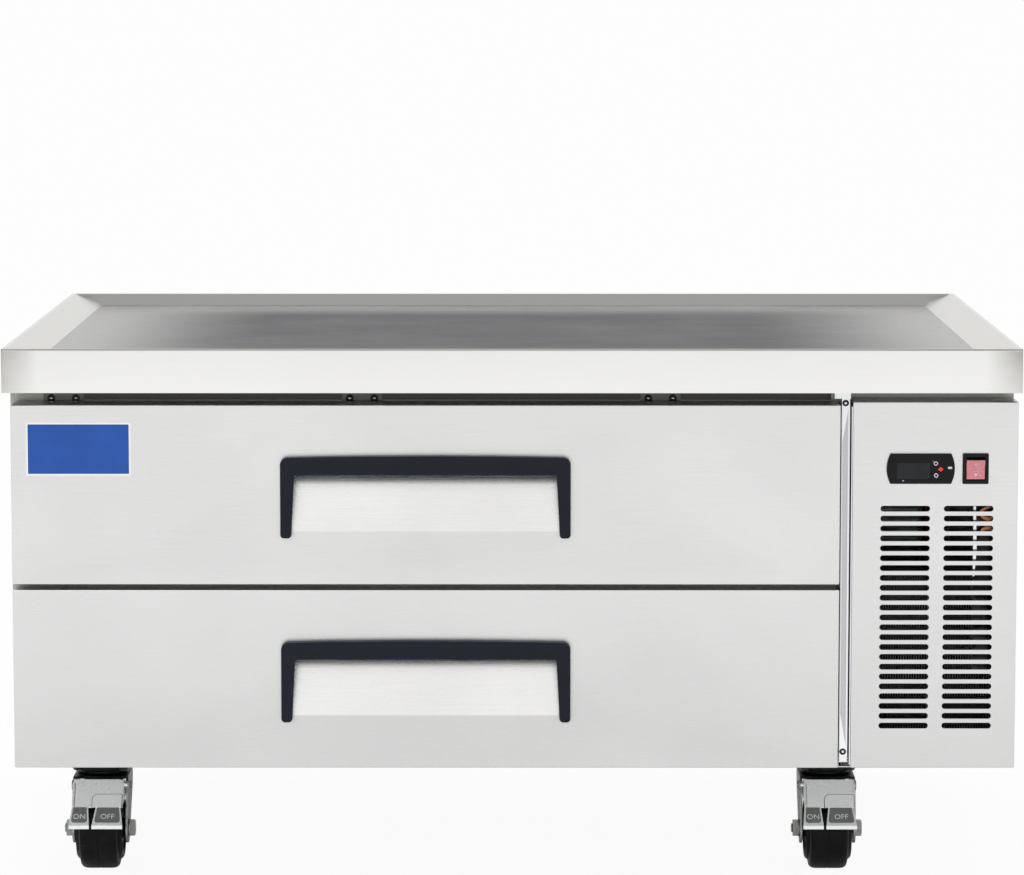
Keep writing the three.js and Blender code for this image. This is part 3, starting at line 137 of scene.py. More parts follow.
class Paint:
    """One finish: its node tree, with short calls that add nodes to it."""

    def __init__(self, name, colour, roughness, metallic=0.0, specular=0.5, tint=None):
        material = LOOKS[name] = bpy.data.materials.new(name)
        material.use_nodes = True
        self.tree = material.node_tree
        self.shader = self.tree.nodes["Principled BSDF"]
        values = {"Base Color": (*colour, 1), "Roughness": roughness}
        values |= {"Metallic": metallic, "Specular IOR Level": specular}
        if tint:
            values["Specular Tint"] = (*tint, 1)
        for socket, value in values.items():
            self.shader.inputs[socket].default_value = value
        self.place = added(self.tree, "ShaderNodeTexCoord").outputs["Object"]

    def axes(self):
        """The object's x, y and z."""
        return added(self.tree, "ShaderNodeSeparateXYZ", {0: self.place}).outputs

    def math(self, operation, first, second=0.0):
        return calculated(self.tree, operation, first, second)

    def weighed(self, first, first_share, second, second_share):
        """The sum of two outputs, each times its share."""
        part = self.math("MULTIPLY", first, first_share)
        return self.math("ADD", part, self.math("MULTIPLY", second, second_share))

    def noise(self, scale, stretch=(1, 1, 1), detail=3.0, roughness=0.5, turn=(0, 0, 0)):
        inputs = {"Vector": self.place, "Scale": stretch, "Rotation": turn}
        place = added(self.tree, "ShaderNodeMapping", inputs)
        inputs = {"Vector": place.outputs[0], "Scale": scale, "Detail": detail, "Roughness": roughness}
        return added(self.tree, "ShaderNodeTexNoise", inputs).outputs["Fac"]

    def spread(self, value, low, high, start=0.3, end=0.7, smooth=False):
        return ramp(self.tree, value, low, high, start, end, smooth)

    def mixed(self, share, first, second):
        """Two colours, each a value or an output."""
        first, second = ((*c, 1) if isinstance(c, tuple) else c for c in (first, second))
        inputs = {0: share, 6: first, 7: second}  # the sockets that a colour mix uses
        return added(self.tree, "ShaderNodeMix", inputs, data_type="RGBA").outputs[2]

    def toned(self, colour, value, dark, light, start=0.3, end=0.7):
        """A colour between its dark and its light share."""
        return self.mixed(self.spread(value, 0, 1, start, end), shaded(colour, dark), shaded(colour, light))

    def worn(self, amount):
        """0 on flat areas and towards amount along the outer edges, for wear."""
        sharpness = added(self.tree, "ShaderNodeNewGeometry").outputs["Pointiness"]
        return self.spread(sharpness, 0, amount, 0.52, 0.6)

    def finish(self, colour, roughness, relief, depth):
        """Links the colour, the roughness and a relief of some depth to the shader."""
        bump = added(self.tree, "ShaderNodeBump", {"Height": relief, "Distance": depth})
        links = {"Base Color": colour, "Roughness": roughness, "Normal": bump.outputs[0]}
        for socket, output in links.items():
            if output is not None:
                self.tree.links.new(output, self.shader.inputs[socket])


def shaded(colour, share):
    return tuple(channel * share for channel in colour)


def brushed(name, colour, roughness, fine=900, mottle=0.04, low_shade=0.0):
    """Brushed sheet: fine grain lines, faint clouds, brighter worn edges, and painted shade that darkens its
    lower part.
    """
    paint = Paint(name, colour, roughness, metallic=1)
    grain = paint.noise(fine, ALONG_X, 4, 0.65)
    tone = paint.weighed(grain, 0.35, paint.noise(5, detail=4), 0.65)
    base = paint.toned(colour, tone, 1 - mottle, 1 + mottle, 0.35, 0.65)
    if low_shade > 0:
        # Painted shade: the sheet is made darker towards the bottom.
        low_down = paint.spread(paint.axes()["Z"], low_shade, 0, 0.12, 0.46)
        base = paint.mixed(low_down, base, shaded(colour, 0.6))
    base = paint.mixed(paint.worn(0.5), base, shaded(colour, 1.1))
    paint.finish(base, paint.spread(grain, roughness - 0.05, roughness + 0.07), grain, 0.006 * MM)


def worktop_steel():
    """Worktop sheet: grain along each side that meets in the mitres, and painted shade on its slopes, along
    the rim's fold and corners, and at the rim's ends.
    """
    colour = (0.93, 0.925, 0.91)
    paint = Paint("worktop_stainless", colour, 0.2, metallic=1, tint=(0.9, 0.895, 0.88))
    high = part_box("worktop")[1]
    x, y, z = paint.axes()
    from_side = paint.math("SUBTRACT", high.x, paint.math("ABSOLUTE", x))
    from_front = paint.math("SUBTRACT", high.y, paint.math("ABSOLUTE", y))
    nearest = paint.math("MINIMUM", from_side, from_front)
    grain = added(paint.tree, "ShaderNodeMix", {
        "Factor": paint.math("LESS_THAN", from_side, from_front),
        "A": paint.noise(900, ALONG_X, 4, 0.65), "B": paint.noise(900, ALONG_Y, 4, 0.65),
    }).outputs[0]
    waves = paint.noise(3.2, (1, 1.4, 1), 2)
    base = paint.toned(colour, paint.weighed(grain, 0.4, waves, 0.6), 0.96, 1.03, 0.35, 0.65)
    # Painted shade: the faces inside the rim are darker.
    base = paint.mixed(paint.spread(nearest, 0, 1, 3 * MM, 6 * MM), base, shaded(colour, 0.84))
    # Painted shade: olive-brown blotches on the rim's faces near its ends.
    blotches = paint.spread(z, 1, 0, high.z - 3 * MM, high.z - 1 * MM)
    for distance in (from_side, from_front):
        blotches = paint.math("MULTIPLY", blotches, paint.spread(distance, 1, 0, 1 * MM, 44 * MM))
    blotches = paint.math("MULTIPLY", blotches, paint.spread(paint.noise(16), 0.6, 1.0))
    base = paint.mixed(blotches, base, (0.2, 0.187, 0.155))
    # Painted shade: a dark line along the rim's rounded fold and down its corners.
    outer = paint.spread(nearest, 1, 0, 1.3 * MM, 2.1 * MM)
    bend = paint.math("MULTIPLY", outer, paint.spread(z, 0, 1, high.z - 2.2 * MM, high.z - 1.5 * MM))
    corner = paint.spread(paint.math("MAXIMUM", from_side, from_front), 1, 0, 1.6 * MM, 2.6 * MM)
    base = paint.mixed(paint.math("MAXIMUM", bend, corner), base, (0.3, 0.29, 0.26))
    base = paint.mixed(paint.worn(0.6), base, shaded(colour, 1.1))
    paint.finish(base, paint.spread(grain, 0.15, 0.22), paint.weighed(grain, 0.006, waves, 0.35), 0.35 * MM)


def deck_steel():
    """The deck where appliances stand: the same sheet with faint scuffs, painted darker than the rim and
    darker still inwards, in colour and in edge tint: painted shade.
    """
    # Painted shade: the deck's colour is darker than the rim's.
    colour = (0.66, 0.66, 0.66)
    paint = Paint("worktop_deck", colour, 0.24, metallic=1)
    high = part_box("worktop")[1]
    x, y, _ = paint.axes()
    border = RIDGE + SLOPE_RUN + STEP_RUN
    from_side = paint.math("SUBTRACT", high.x - border, paint.math("ABSOLUTE", x))
    from_back = paint.math("SUBTRACT", high.y - border, y)
    # Painted shade: darker inwards, in colour and in edge tint.
    inside = paint.math("MULTIPLY", paint.spread(from_side, 0, 1, 0, 260 * MM, smooth=True),
                        paint.spread(from_back, 0, 1, 0, 190 * MM, smooth=True))
    grazing = paint.mixed(inside, (0.74, 0.735, 0.72), (0.3, 0.3, 0.308))
    paint.tree.links.new(grazing, paint.shader.inputs["Specular Tint"])
    grain = paint.noise(900, ALONG_X, 4, 0.65)
    scuffs = paint.noise(7, detail=7, roughness=0.62)
    lines = paint.noise(60, (0.03, 1, 1), 6, 0.7, turn=(0, 0, 0.3))
    base = paint.mixed(inside, colour, (0.25, 0.25, 0.258))
    base = paint.mixed(paint.spread(scuffs, 0.16, 0), base, (0.1, 0.1, 0.1))
    base = paint.mixed(paint.spread(lines, 0, 0.3, 0.62, 0.72), base, (0.8, 0.8, 0.8))
    gloss = paint.math("ADD", paint.spread(grain, 0.17, 0.26), paint.spread(scuffs, 0, 0.06))
    paint.finish(base, gloss, paint.weighed(grain, 0.02, scuffs, 1), 0.1 * MM)


def banded_trim():
    """Trim strip: a satin middle painted darker grey as painted shade, and polished edges and ends round its
    screws left bright as painted highlight.
    """
    colour = (0.9, 0.91, 0.92)
    paint = Paint("trim_strip", colour, 0.1, metallic=1)
    low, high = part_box("mullion_strip")
    x, _, z = paint.axes()
    across = paint.math("SUBTRACT", x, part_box("upper_drawer_shell")[1].x + STRIP_GAP)
    ends = paint.math("MINIMUM", paint.math("SUBTRACT", high.z, z), paint.math("SUBTRACT", z, low.z))
    lean = paint.spread(ends, 9 * MM, 1.4 * MM, 16 * MM, 60 * MM)
    # Painted shade down the middle, and painted highlight along the edges and the ends.
    satin_and_shade = paint.math("MULTIPLY", paint.spread(paint.math("SUBTRACT", across, lean), 0, 1, 0, 0.8 * MM),
                       paint.spread(across, 1, 0, 8.2 * MM, 9.2 * MM))
    streaks = paint.noise(420, (1, 1, 0.004))
    painted_grey = paint.mixed(paint.spread(streaks, 0, 1), (0.5, 0.5, 0.515), (0.6, 0.6, 0.61))
    gloss = paint.math("ADD", paint.math("MULTIPLY", satin_and_shade, 0.14), 0.09)
    paint.finish(paint.mixed(satin_and_shade, colour, painted_grey), gloss, streaks, 0.004 * MM)


def spangled(name, colour, roughness, crystal=90, contrast=0.12, tint=None):
    """Zinc coat: small crystals of slightly different grey and gloss, and brighter worn edges."""
    paint = Paint(name, colour, roughness, metallic=0.9, tint=tint)
    cells = added(paint.tree, "ShaderNodeTexVoronoi", {"Vector": paint.place, "Scale": crystal})
    share = added(paint.tree, "ShaderNodeSeparateColor", {0: cells.outputs["Color"]}).outputs[0]
    blotches = paint.noise(18, detail=6)
    dark, light = shaded(colour, 1 - contrast), shaded(colour, 1 + contrast * 0.6)
    base = paint.mixed(paint.weighed(share, 0.5, blotches, 0.5), dark, light)
    base = paint.mixed(paint.worn(0.7), base, shaded(colour, 1.2))
    paint.finish(base, paint.spread(share, roughness - 0.06, roughness + 0.1, 0, 1), blotches, 0.03 * MM)


def moulded(name, colour, roughness, grain=2600, depth=0.02 * MM, wear=0.35, cloudy=0.15, specular=0.22):
    """Moulded plastic or paint: fine texture, cloudy gloss and edges rubbed lighter."""
    paint = Paint(name, colour, roughness, specular=specular)
    clouds = paint.noise(30, detail=4)
    rubbed = tuple(min(1, channel * 1.7 + 0.015) for channel in colour)
    base = paint.mixed(paint.worn(wear), paint.toned(colour, clouds, 1 - cloudy, 1 + cloudy), rubbed)
    gloss = paint.spread(clouds, roughness - 0.05, roughness + 0.08)
    paint.finish(base, gloss, paint.noise(grain, detail=2), depth)


def drifting(name, colour, dark, light, roughness, gloss, clouds, depth, texture=None, **more):
    """A finish that drifts between two colours and from one gloss to another, over a fine texture."""
    paint = Paint(name, colour, roughness, **more)
    drift = paint.noise(clouds[0], detail=clouds[1])
    dark, light = (tone if isinstance(tone, tuple) else shaded(colour, tone) for tone in (dark, light))
    base = paint.mixed(paint.spread(drift, 0, 1), dark, light)
    relief = paint.noise(*texture) if texture else drift
    paint.finish(base, paint.spread(drift, *gloss) if gloss else None, relief, depth)


def wheel_rubber():
    """Tread rubber: near black, with dust in fine scuffs."""
    colour = (0.0045, 0.0045, 0.005)
    paint = Paint("wheel_rubber", colour, 0.4, specular=0.12)
    scuffs = paint.noise(160, (0.25, 1, 1), 6, 0.7)
    dust = paint.noise(28, detail=5)
    base = paint.mixed(paint.spread(dust, 0, 1, 0.5, 0.8), colour, (0.014, 0.0135, 0.013))
    base = paint.mixed(paint.spread(scuffs, 0, 1, 0.64, 0.78), base, (0.045, 0.044, 0.042))
    paint.finish(base, paint.spread(dust, 0.3, 0.5), scuffs, 0.1 * MM)


# The record's slots
# The stainless fronts take painted shade on their lower part.
brushed("brushed_stainless", (0.79, 0.79, 0.785), 0.3, low_shade=0.4)
worktop_steel()
drifting("bright_trim", (0.84, 0.85, 0.86), 0.95, 1.03, 0.12, (0.09, 0.18), (14, 5), 0.004 * MM,
         (700, ALONG_Z, 2), metallic=1)
spangled("galvanised_sheet", (0.56, 0.57, 0.57), 0.38, crystal=55, contrast=0.16)
brushed("liner_aluminium", (0.66, 0.67, 0.68), 0.4, fine=500, mottle=0.07)
drifting("rigid_foam", (0.72, 0.6, 0.3), 0.82, 1.1, 0.9, None, (9, 3), 0.3 * MM, (900,))
spangled("slide_steel", (0.55, 0.57, 0.58), 0.3, crystal=220, contrast=0.08)
moulded("gasket_grey", (0.09, 0.095, 0.1), 0.6, grain=1500)
moulded("handle_plastic", (0.006, 0.009, 0.0155), 0.45, wear=0.12, specular=0.2)
moulded("controller_black", (0.004, 0.0043, 0.005), 0.15, grain=900, depth=0.004 * MM, specular=0.2)
moulded("switch_black", (0.005, 0.005, 0.0055), 0.38, specular=0.16)
drifting("switch_red", (0.62, 0.16, 0.2), 0.8, (0.75, 0.3, 0.33), 0.22, (0.16, 0.3), (700, 4), 0.06 * MM)
moulded("key_white", (0.62, 0.63, 0.64), 0.35, wear=0.1, cloudy=0.06)
moulded("key_red", (0.72, 0.06, 0.04), 0.35, wear=0.1, cloudy=0.08)
moulded("caster_black", (0.008, 0.0095, 0.0095), 0.28, grain=500, specular=0.3)
spangled("caster_zinc", (0.92, 0.945, 0.94), 0.2, crystal=120, contrast=0.05)
wheel_rubber()
moulded("compressor_black", (0.008, 0.008, 0.009), 0.3, grain=350, depth=0.05 * MM)
drifting("coil_fins", (0.42, 0.43, 0.44), 0.6, 1.1, 0.42, (0.35, 0.6), (40, 5), 0.05 * MM, metallic=0.85)
moulded("fan_black", (0.015, 0.016, 0.017), 0.45)
drifting("copper_tube", (0.72, 0.36, 0.22), (0.4, 0.17, 0.1), 1, 0.3, (0.24, 0.42), (35, 6), 0.03 * MM,
         metallic=1)
moulded("box_grey", (0.1, 0.105, 0.11), 0.5, grain=1400)
drifting("badge_blue", (0.016, 0.082, 0.37), 0.93, 1.08, 0.2, (0.16, 0.26), (22, 3), 0.02 * MM,
         (420, (1, 1, 1), 2), specular=0.3)

# Finishes of single pieces. The frame lies deep under the rim: the frame, its rail and its brackets are
# painted darker than the fronts, as painted shade
brushed("frame_steel", (0.42, 0.42, 0.385), 0.4)
brushed("rail_steel", (0.075, 0.075, 0.067), 0.34)
brushed("bracket_steel", (0.14, 0.14, 0.128), 0.34)
# The pocket's steel is painted brighter than the fronts: painted highlight.
brushed("pocket_steel", (0.9, 0.895, 0.885), 0.26, mottle=0.05)
# The guard's galvanised sheet is painted near black: painted shade.
spangled("guard_steel", (0.045, 0.045, 0.046), 0.2, contrast=0.85)
moulded("coil_black", (0.006, 0.006, 0.0065), 0.5, grain=600, depth=0.05 * MM)
moulded("badge_white", (0.86, 0.865, 0.87), 0.3, wear=0.1, cloudy=0.04)
banded_trim()
deck_steel()
moulded("display_grey", (0.011, 0.0115, 0.013), 0.2, grain=1100, cloudy=0.5, specular=0.25)
# Dark zinc for the pedal tabs' faces: painted shade.
spangled("tab_zinc", (0.23, 0.237, 0.23), 0.34, crystal=500, contrast=0.2)
spangled("bolt_zinc", (0.4, 0.4, 0.385), 0.26, crystal=160, contrast=0.3)
# The fork's zinc is darker than the pedal's, with a dark edge tint: painted shade.
spangled("fork_zinc", (0.36, 0.365, 0.34), 0.14, crystal=120, contrast=0.4, tint=(0.3, 0.3, 0.29))


# Mesh tools

def placed(name, bm):
    """A bmesh as an object of the scene."""
    mesh = bpy.data.meshes.new(name)
    bm.to_mesh(mesh)
    bm.free()
    made = bpy.data.objects.new(name, mesh)
    scene.collection.objects.link(made)
    return made


def evaluated(holder):
    """An object's shape after its modifiers, as a bmesh."""
    bm = bmesh.new()
    bm.from_mesh(holder.evaluated_get(bpy.context.evaluated_depsgraph_get()).to_mesh())
    return bm


def add_piece(name, bm, slot, carrier, replaced=False, crease=CREASE, look=None):
    """Makes a bmesh into a piece. It rides as the carrier, a solid, does, and may stand for it."""
    bmesh.ops.remove_doubles(bm, verts=bm.verts, dist=0.002 * MM)
    bmesh.ops.recalc_face_normals(bm, faces=bm.faces)
    piece = placed(name, bm)
    piece.data.materials.append(LOOKS[look or slot])
    piece.data.shade_smooth()
    piece.data.set_sharp_from_angle(angle=radians(crease))
    piece.modifiers.new("even_shading", "WEIGHTED_NORMAL").keep_sharp = True
    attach(piece, frame["nodes"][carrier]["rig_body"])
    if replaced:
        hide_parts(carrier)
    return piece


def joined(*parts):
    """Several bmeshes as one."""
    whole = bmesh.new()
    for part in parts:
        mesh = bpy.data.meshes.new("part")
        part.to_mesh(mesh)
        part.free()
        whole.from_mesh(mesh)
        bpy.data.meshes.remove(mesh)
    return whole


def moved(bm, x=0.0, y=0.0, z=0.0):
    bmesh.ops.translate(bm, verts=bm.verts, vec=(x, y, z))
    return bm


def turned(bm, matrix, x=0.0, y=0.0, z=0.0):
    """Turns a bmesh, and then moves it."""
    bmesh.ops.transform(bm, matrix=matrix, verts=bm.verts)
    return moved(bm, x, y, z)


def boolean(bm, tool, operation="DIFFERENCE"):
    """A bmesh cut by, or joined with, another one."""
    for part in (bm, tool):
        bmesh.ops.recalc_face_normals(part, faces=part.faces)
    objects = [placed("part", bm), placed("part", tool)]
    modifier = objects[0].modifiers.new("cut", "BOOLEAN")
    modifier.operation = operation
    modifier.solver = "EXACT"
    modifier.object = objects[1]
    result = evaluated(objects[0])
    for part in objects:
        bpy.data.meshes.remove(part.data)
    bmesh.ops.dissolve_degenerate(result, edges=result.edges, dist=0.001 * MM)
    return result


def thickened(bm, thickness):
    """An open sheet given a thickness, with its rim closed."""
    bmesh.ops.remove_doubles(bm, verts=bm.verts, dist=0.005 * MM)
    bmesh.ops.dissolve_degenerate(bm, edges=bm.edges, dist=0.005 * MM)
    bmesh.ops.recalc_face_normals(bm, faces=bm.faces)
    sheet = placed("sheet", bm)
    modifier = sheet.modifiers.new("thick", "SOLIDIFY")
    modifier.thickness = thickness
    modifier.offset = 0
    modifier.use_even_offset = True
    result = evaluated(sheet)
    bpy.data.meshes.remove(sheet.data)
    return result


def bevel(bm, edges, width, segments=2, clamp=True):
    if edges:
        bmesh.ops.bevel(bm, geom=edges, offset=width, segments=segments, profile=0.5, affect="EDGES",
                        clamp_overlap=clamp)
    return bm


def sharp_edges(bm, angle=40):
    limit = radians(angle)
    return [e for e in bm.edges if len(e.link_faces) == 2 and e.calc_face_angle(0) > limit]


def top_rim(bm):
    """The edges round the faces that look up."""
    return [e for e in bm.edges if any(f.normal.z > 0.9 for f in e.link_faces)]


def arc(centre, radius, start, end, steps):
    spots = [start + (end - start) * k / steps for k in range(steps + 1)]
    return [(centre[0] + radius * cos(a), centre[1] + radius * sin(a)) for a in spots]


def fillet(points, radii, steps=6):
    """A closed outline with an arc of the given radius at each corner; 0 keeps the corner."""
    made = []
    count = len(points)
    for i, corner in enumerate(points):
        radius = radii[i] if isinstance(radii, (list, tuple)) else radii
        corner = Vector(corner)
        if radius <= 0:
            made.append(tuple(corner))
            continue
        before = (Vector(points[i - 1]) - corner).normalized()
        after = (Vector(points[(i + 1) % count]) - corner).normalized()
        half_angle = before.angle(after) / 2
        reach = radius / tan(half_angle)
        centre = corner + (before + after).normalized() * (radius / sin(half_angle))
        start = corner + before * reach - centre
        turn = (corner + after * reach - centre).angle_signed(start)
        for k in range(steps + 1):
            spin = Matrix.Rotation(turn * k / steps, 2)
            made.append(tuple(centre + spin @ start))
    return made


def rounded(x0, y0, x1, y1, radius=0, steps=6):
    """A rectangle's outline with round corners."""
    return fillet([(x0, y0), (x1, y0), (x1, y1), (x0, y1)], radius, steps)


def prism(points, depth, edge=EDGE, segments=2):
    """An outline run up from z 0 by depth, with its outline's edges rounded."""
    bm = bmesh.new()
    bm.faces.new([bm.verts.new((x, y, 0)) for x, y in points])
    grown = bmesh.ops.extrude_face_region(bm, geom=bm.faces[:])
    top = [v for v in grown["geom"] if isinstance(v, bmesh.types.BMVert)]
    bmesh.ops.translate(bm, verts=top, vec=(0, 0, depth))
    bmesh.ops.recalc_face_normals(bm, faces=bm.faces)
    if edge > 0:
        bevel(bm, [e for e in bm.edges if any(abs(f.normal.z) > 0.9 for f in e.link_faces)], edge, segments)
    return bm


def lathe(profile, segments=ROUND, matrix=Matrix.Identity(4)):
    """A round solid about z; the profile's points are (radius, height), from the axis or closed."""
    bm = bmesh.new()
    rings = []
    for radius, height in profile:
        if radius < 1e-7:
            rings.append([bm.verts.new((0, 0, height))])
        else:
            spots = [2 * pi * k / segments for k in range(segments)]
            rings.append([bm.verts.new((radius * cos(a), radius * sin(a), height)) for a in spots])
    pairs = list(zip(rings, rings[1:]))
    if len(rings[0]) > 1 and len(rings[-1]) > 1:
        pairs.append((rings[-1], rings[0]))
    for lower, upper in pairs:
        for k in range(segments):
            a, b = lower[k % len(lower)], lower[(k + 1) % len(lower)]
            c, d = upper[(k + 1) % len(upper)], upper[k % len(upper)]
            corners = list(dict.fromkeys((a, b, c, d)))
            if len(corners) > 2:
                bm.faces.new(corners)
    bmesh.ops.recalc_face_normals(bm, faces=bm.faces)
    return turned(bm, matrix)


def rod(radius, length, segments=SMALL_ROUND, matrix=Matrix.Identity(4)):
    return lathe([(0, 0), (radius, 0), (radius, length), (0, length)], segments, matrix)


def skinned(grid):
    """A bmesh with a face between each four neighbours of a grid of points."""
    bm = bmesh.new()
    lines = [[bm.verts.new(point) for point in line] for line in grid]
    for first, second in zip(lines, lines[1:]):
        for k in range(len(first) - 1):
            bm.faces.new((first[k], first[k + 1], second[k + 1], second[k]))
    return bm


def swept_ring(profile, half_x, half_y, corner, steps=6):
    """A ring round a rectangle; the profile's points are (inset, height). Both ends are filled."""
    bm = bmesh.new()
    rings = []
    for inset, height in profile:
        x, y = half_x - inset, half_y - inset
        loop = rounded(-x, -y, x, y, max(corner - inset, 0.3 * MM), steps)
        rings.append([bm.verts.new((px, py, height)) for px, py in loop])
    for lower, upper in zip(rings, rings[1:]):
        for k in range(len(lower)):
            n = (k + 1) % len(lower)
            bm.faces.new((lower[k], lower[n], upper[n], upper[k]))
    for ring in (rings[0], rings[-1]):
        bm.faces.new(ring)
    return bm


def mesh_of(data):
    """A curve or text as a bmesh."""
    holder = bpy.data.objects.new("holder", data)
    scene.collection.objects.link(holder)
    bm = evaluated(holder)
    bpy.data.objects.remove(holder)
    bmesh.ops.remove_doubles(bm, verts=bm.verts, dist=0.001 * MM)
    return bm


def tube(points, radius):
    """A round tube along a smooth curve through points."""
    curve = bpy.data.curves.new("tube", "CURVE")
    curve.dimensions = "3D"
    curve.bevel_depth = radius
    curve.bevel_resolution = 6
    curve.use_fill_caps = True
    spline = curve.splines.new("BEZIER")
    spline.bezier_points.add(len(points) - 1)
    for spot, point in zip(spline.bezier_points, points):
        spot.co = point
        spot.handle_left_type = spot.handle_right_type = "AUTO"
    return mesh_of(curve)


def lettering(words, size, depth):
    """Raised letters on z 0, centred."""
    text = bpy.data.curves.new("words", "FONT")
    text.body = words
    text.size = size
    text.align_x = text.align_y = "CENTER"
    text.extrude = depth / 2
    text.bevel_depth = depth / 5
    text.bevel_resolution = 1
    return mesh_of(text)


def cad_copy(node):
    """A solid's shape as a clean bmesh, with few lines between flat neighbours and no face round a hole."""
    bm = bmesh.new()
    bm.from_mesh(frame["nodes"][node].data)
    bmesh.ops.remove_doubles(bm, verts=bm.verts, dist=0.01 * MM)
    bmesh.ops.dissolve_limit(bm, angle_limit=radians(1), verts=bm.verts, edges=bm.edges)
    bmesh.ops.triangulate(bm, faces=[f for f in bm.faces if len(f.verts) > 4])
    return bm


def slot_of(node):
    return next(s["material_slot"] for s in frame["record"]["subparts"] if s["node"] == node)


def on_sides(edge, low, high, near=0.02 * MM):
    """Whether both faces of an edge lie on the outer planes of a box."""
    def outside(face):
        return any(
            all(abs(v.co[axis] - plane[axis]) < near for v in face.verts)
            for axis in range(3) for plane in (low, high)
        )
    return all(outside(face) for face in edge.link_faces)


def softened(node, fold=FOLD, edge=EDGE):
    """A solid's shape with its outer folds rounded and its other edges broken, in the solid's place."""
    bm = cad_copy(node)
    low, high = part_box(node)
    bevel(bm, [e for e in sharp_edges(bm) if on_sides(e, low, high)], fold, 3, clamp=False)
    return bevel(bm, [e for e in sharp_edges(bm) if e.calc_length() > 4 * edge], edge, 1)


def keep_shape(node, look=None, **rounding):
    return add_piece(node + "_formed", softened(node, **rounding), slot_of(node), node, True, look=look)


def screw_head(radius, height):
    """Domed screw head on z 0 with a cross recess."""
    rim = height * 0.15
    bow = [(radius * cos(a), rim + (height - rim) * sin(a)) for a in (pi * k / 16 for k in range(1, 8))]
    foot = [(0, -height * 0.4), (radius, -height * 0.4), (radius, rim)]
    arm, slot = radius * 0.5, radius * 0.13
    cross = [prism(rounded(-a, -b, a, b), height, 0) for a, b in ((arm, slot), (slot, arm))]
    return boolean(lathe([*foot, *bow, (0, height)], SMALL_ROUND), moved(joined(*cross), z=height * 0.45))


def cup_screws(spots, radius):
    """Black cup washers on a front face, and small bright domes in them that stand for the glints on black
    screws: painted highlight.
    """
    cup = fillet([
        (radius * 0.42, -0.3 * MM), (radius, -0.3 * MM), (radius * 0.96, radius * 0.2),
        (radius * 0.5, radius * 0.26),
    ], mm(0, 0, 0.4, 0.2), 3)
    cups, domes = [], []
    for spot in spots:
        cups.append(turned(lathe(cup, SMALL_ROUND), FACE_FRONT, *spot))
        dome = moved(screw_head(radius * 0.46, radius * 0.3), z=-0.05 * MM)
        domes.append(turned(dome, FACE_FRONT, *spot))
    return joined(*cups), joined(*domes)


def hexagon(flats, depth):
    """Hexagon head or nut run up from z 0, with chamfered corners."""
    radius = flats / sqrt(3)
    cone = lathe([
        (0, -depth * 0.1), (flats / 2 * 1.02, -depth * 0.1), (radius * 1.01, depth * 0.12),
        (radius * 1.01, depth * 0.84), (flats / 2 * 0.96, depth), (0, depth),
    ], 60)
    return boolean(prism(arc((0, 0), radius, 0, pi * 5 / 3, 5), depth, 0), cone, "INTERSECT")


# Worktop

def worktop():
    """One pressed sheet: a turned-down rim, a raised ridge, a slope, a small step and the deck."""
    low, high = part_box("worktop")
    slope_foot = high.z - SLOPE_DROP
    deck = slope_foot - STEP_DROP
    slope_end = RIDGE + SLOPE_RUN
    step_end = slope_end + STEP_RUN

    def side(wall):
        """The sheet's line from the rim's lower edge in to the deck, a wall's thickness below."""
        points = [
            (wall, low.z), (wall, high.z - wall), (RIDGE, high.z - wall),
            (slope_end, slope_foot - wall), (step_end, deck - wall), (step_end + 30 * MM, deck - wall),
        ]
        return fillet(points, [0, RIM_TURN - wall * 0.9, *mm(4, 5, 5, 0)], 5)

    bm = swept_ring([*reversed(side(TOP_SHEET)), *side(0)], high.x, high.y, RIM_CORNER)
    sheet = add_piece("worktop_sheet", bm, "worktop_stainless", "worktop", True, crease=50)
    sheet.data.materials.append(LOOKS["worktop_deck"])
    for face in sheet.data.polygons:
        spot = face.center
        inset = min(high.x - abs(spot.x), high.y - abs(spot.y))
        if inset > (slope_end + step_end) / 2 and face.normal.z > 0.5:
            face.material_index = 1


# Cabinet

OVERLAY = 0.8 * MM  # sheet of the rail's face and of a bracket
RAIL_LOW = 607.7 * MM
RAIL_TOP = 634 * MM
BRACKETS = 3
BRACKET_LOW = 603.8 * MM
BRACKET_WIDTH = 49 * MM
FIRST_BRACKET = 68 * MM  # from the worktop's left side
LAST_BRACKET = 216 * MM  # from the drawers' right side
BRACKET_SCREW = 5 * MM
BRACKET_SCREW_PITCH = 30 * MM
BRACKET_SCREW_HEIGHT = 609.5 * MM
LOUVRE_ROWS = 14
LOUVRE_DROP = 136 * MM
LOUVRE_PITCH = 15 * MM
LOUVRE_LENGTH = 124 * MM
LOUVRE_HALF = 5.5 * MM
LOUVRE_RISE = 2.2 * MM
REAR_SCREW_EDGE = 9 * MM


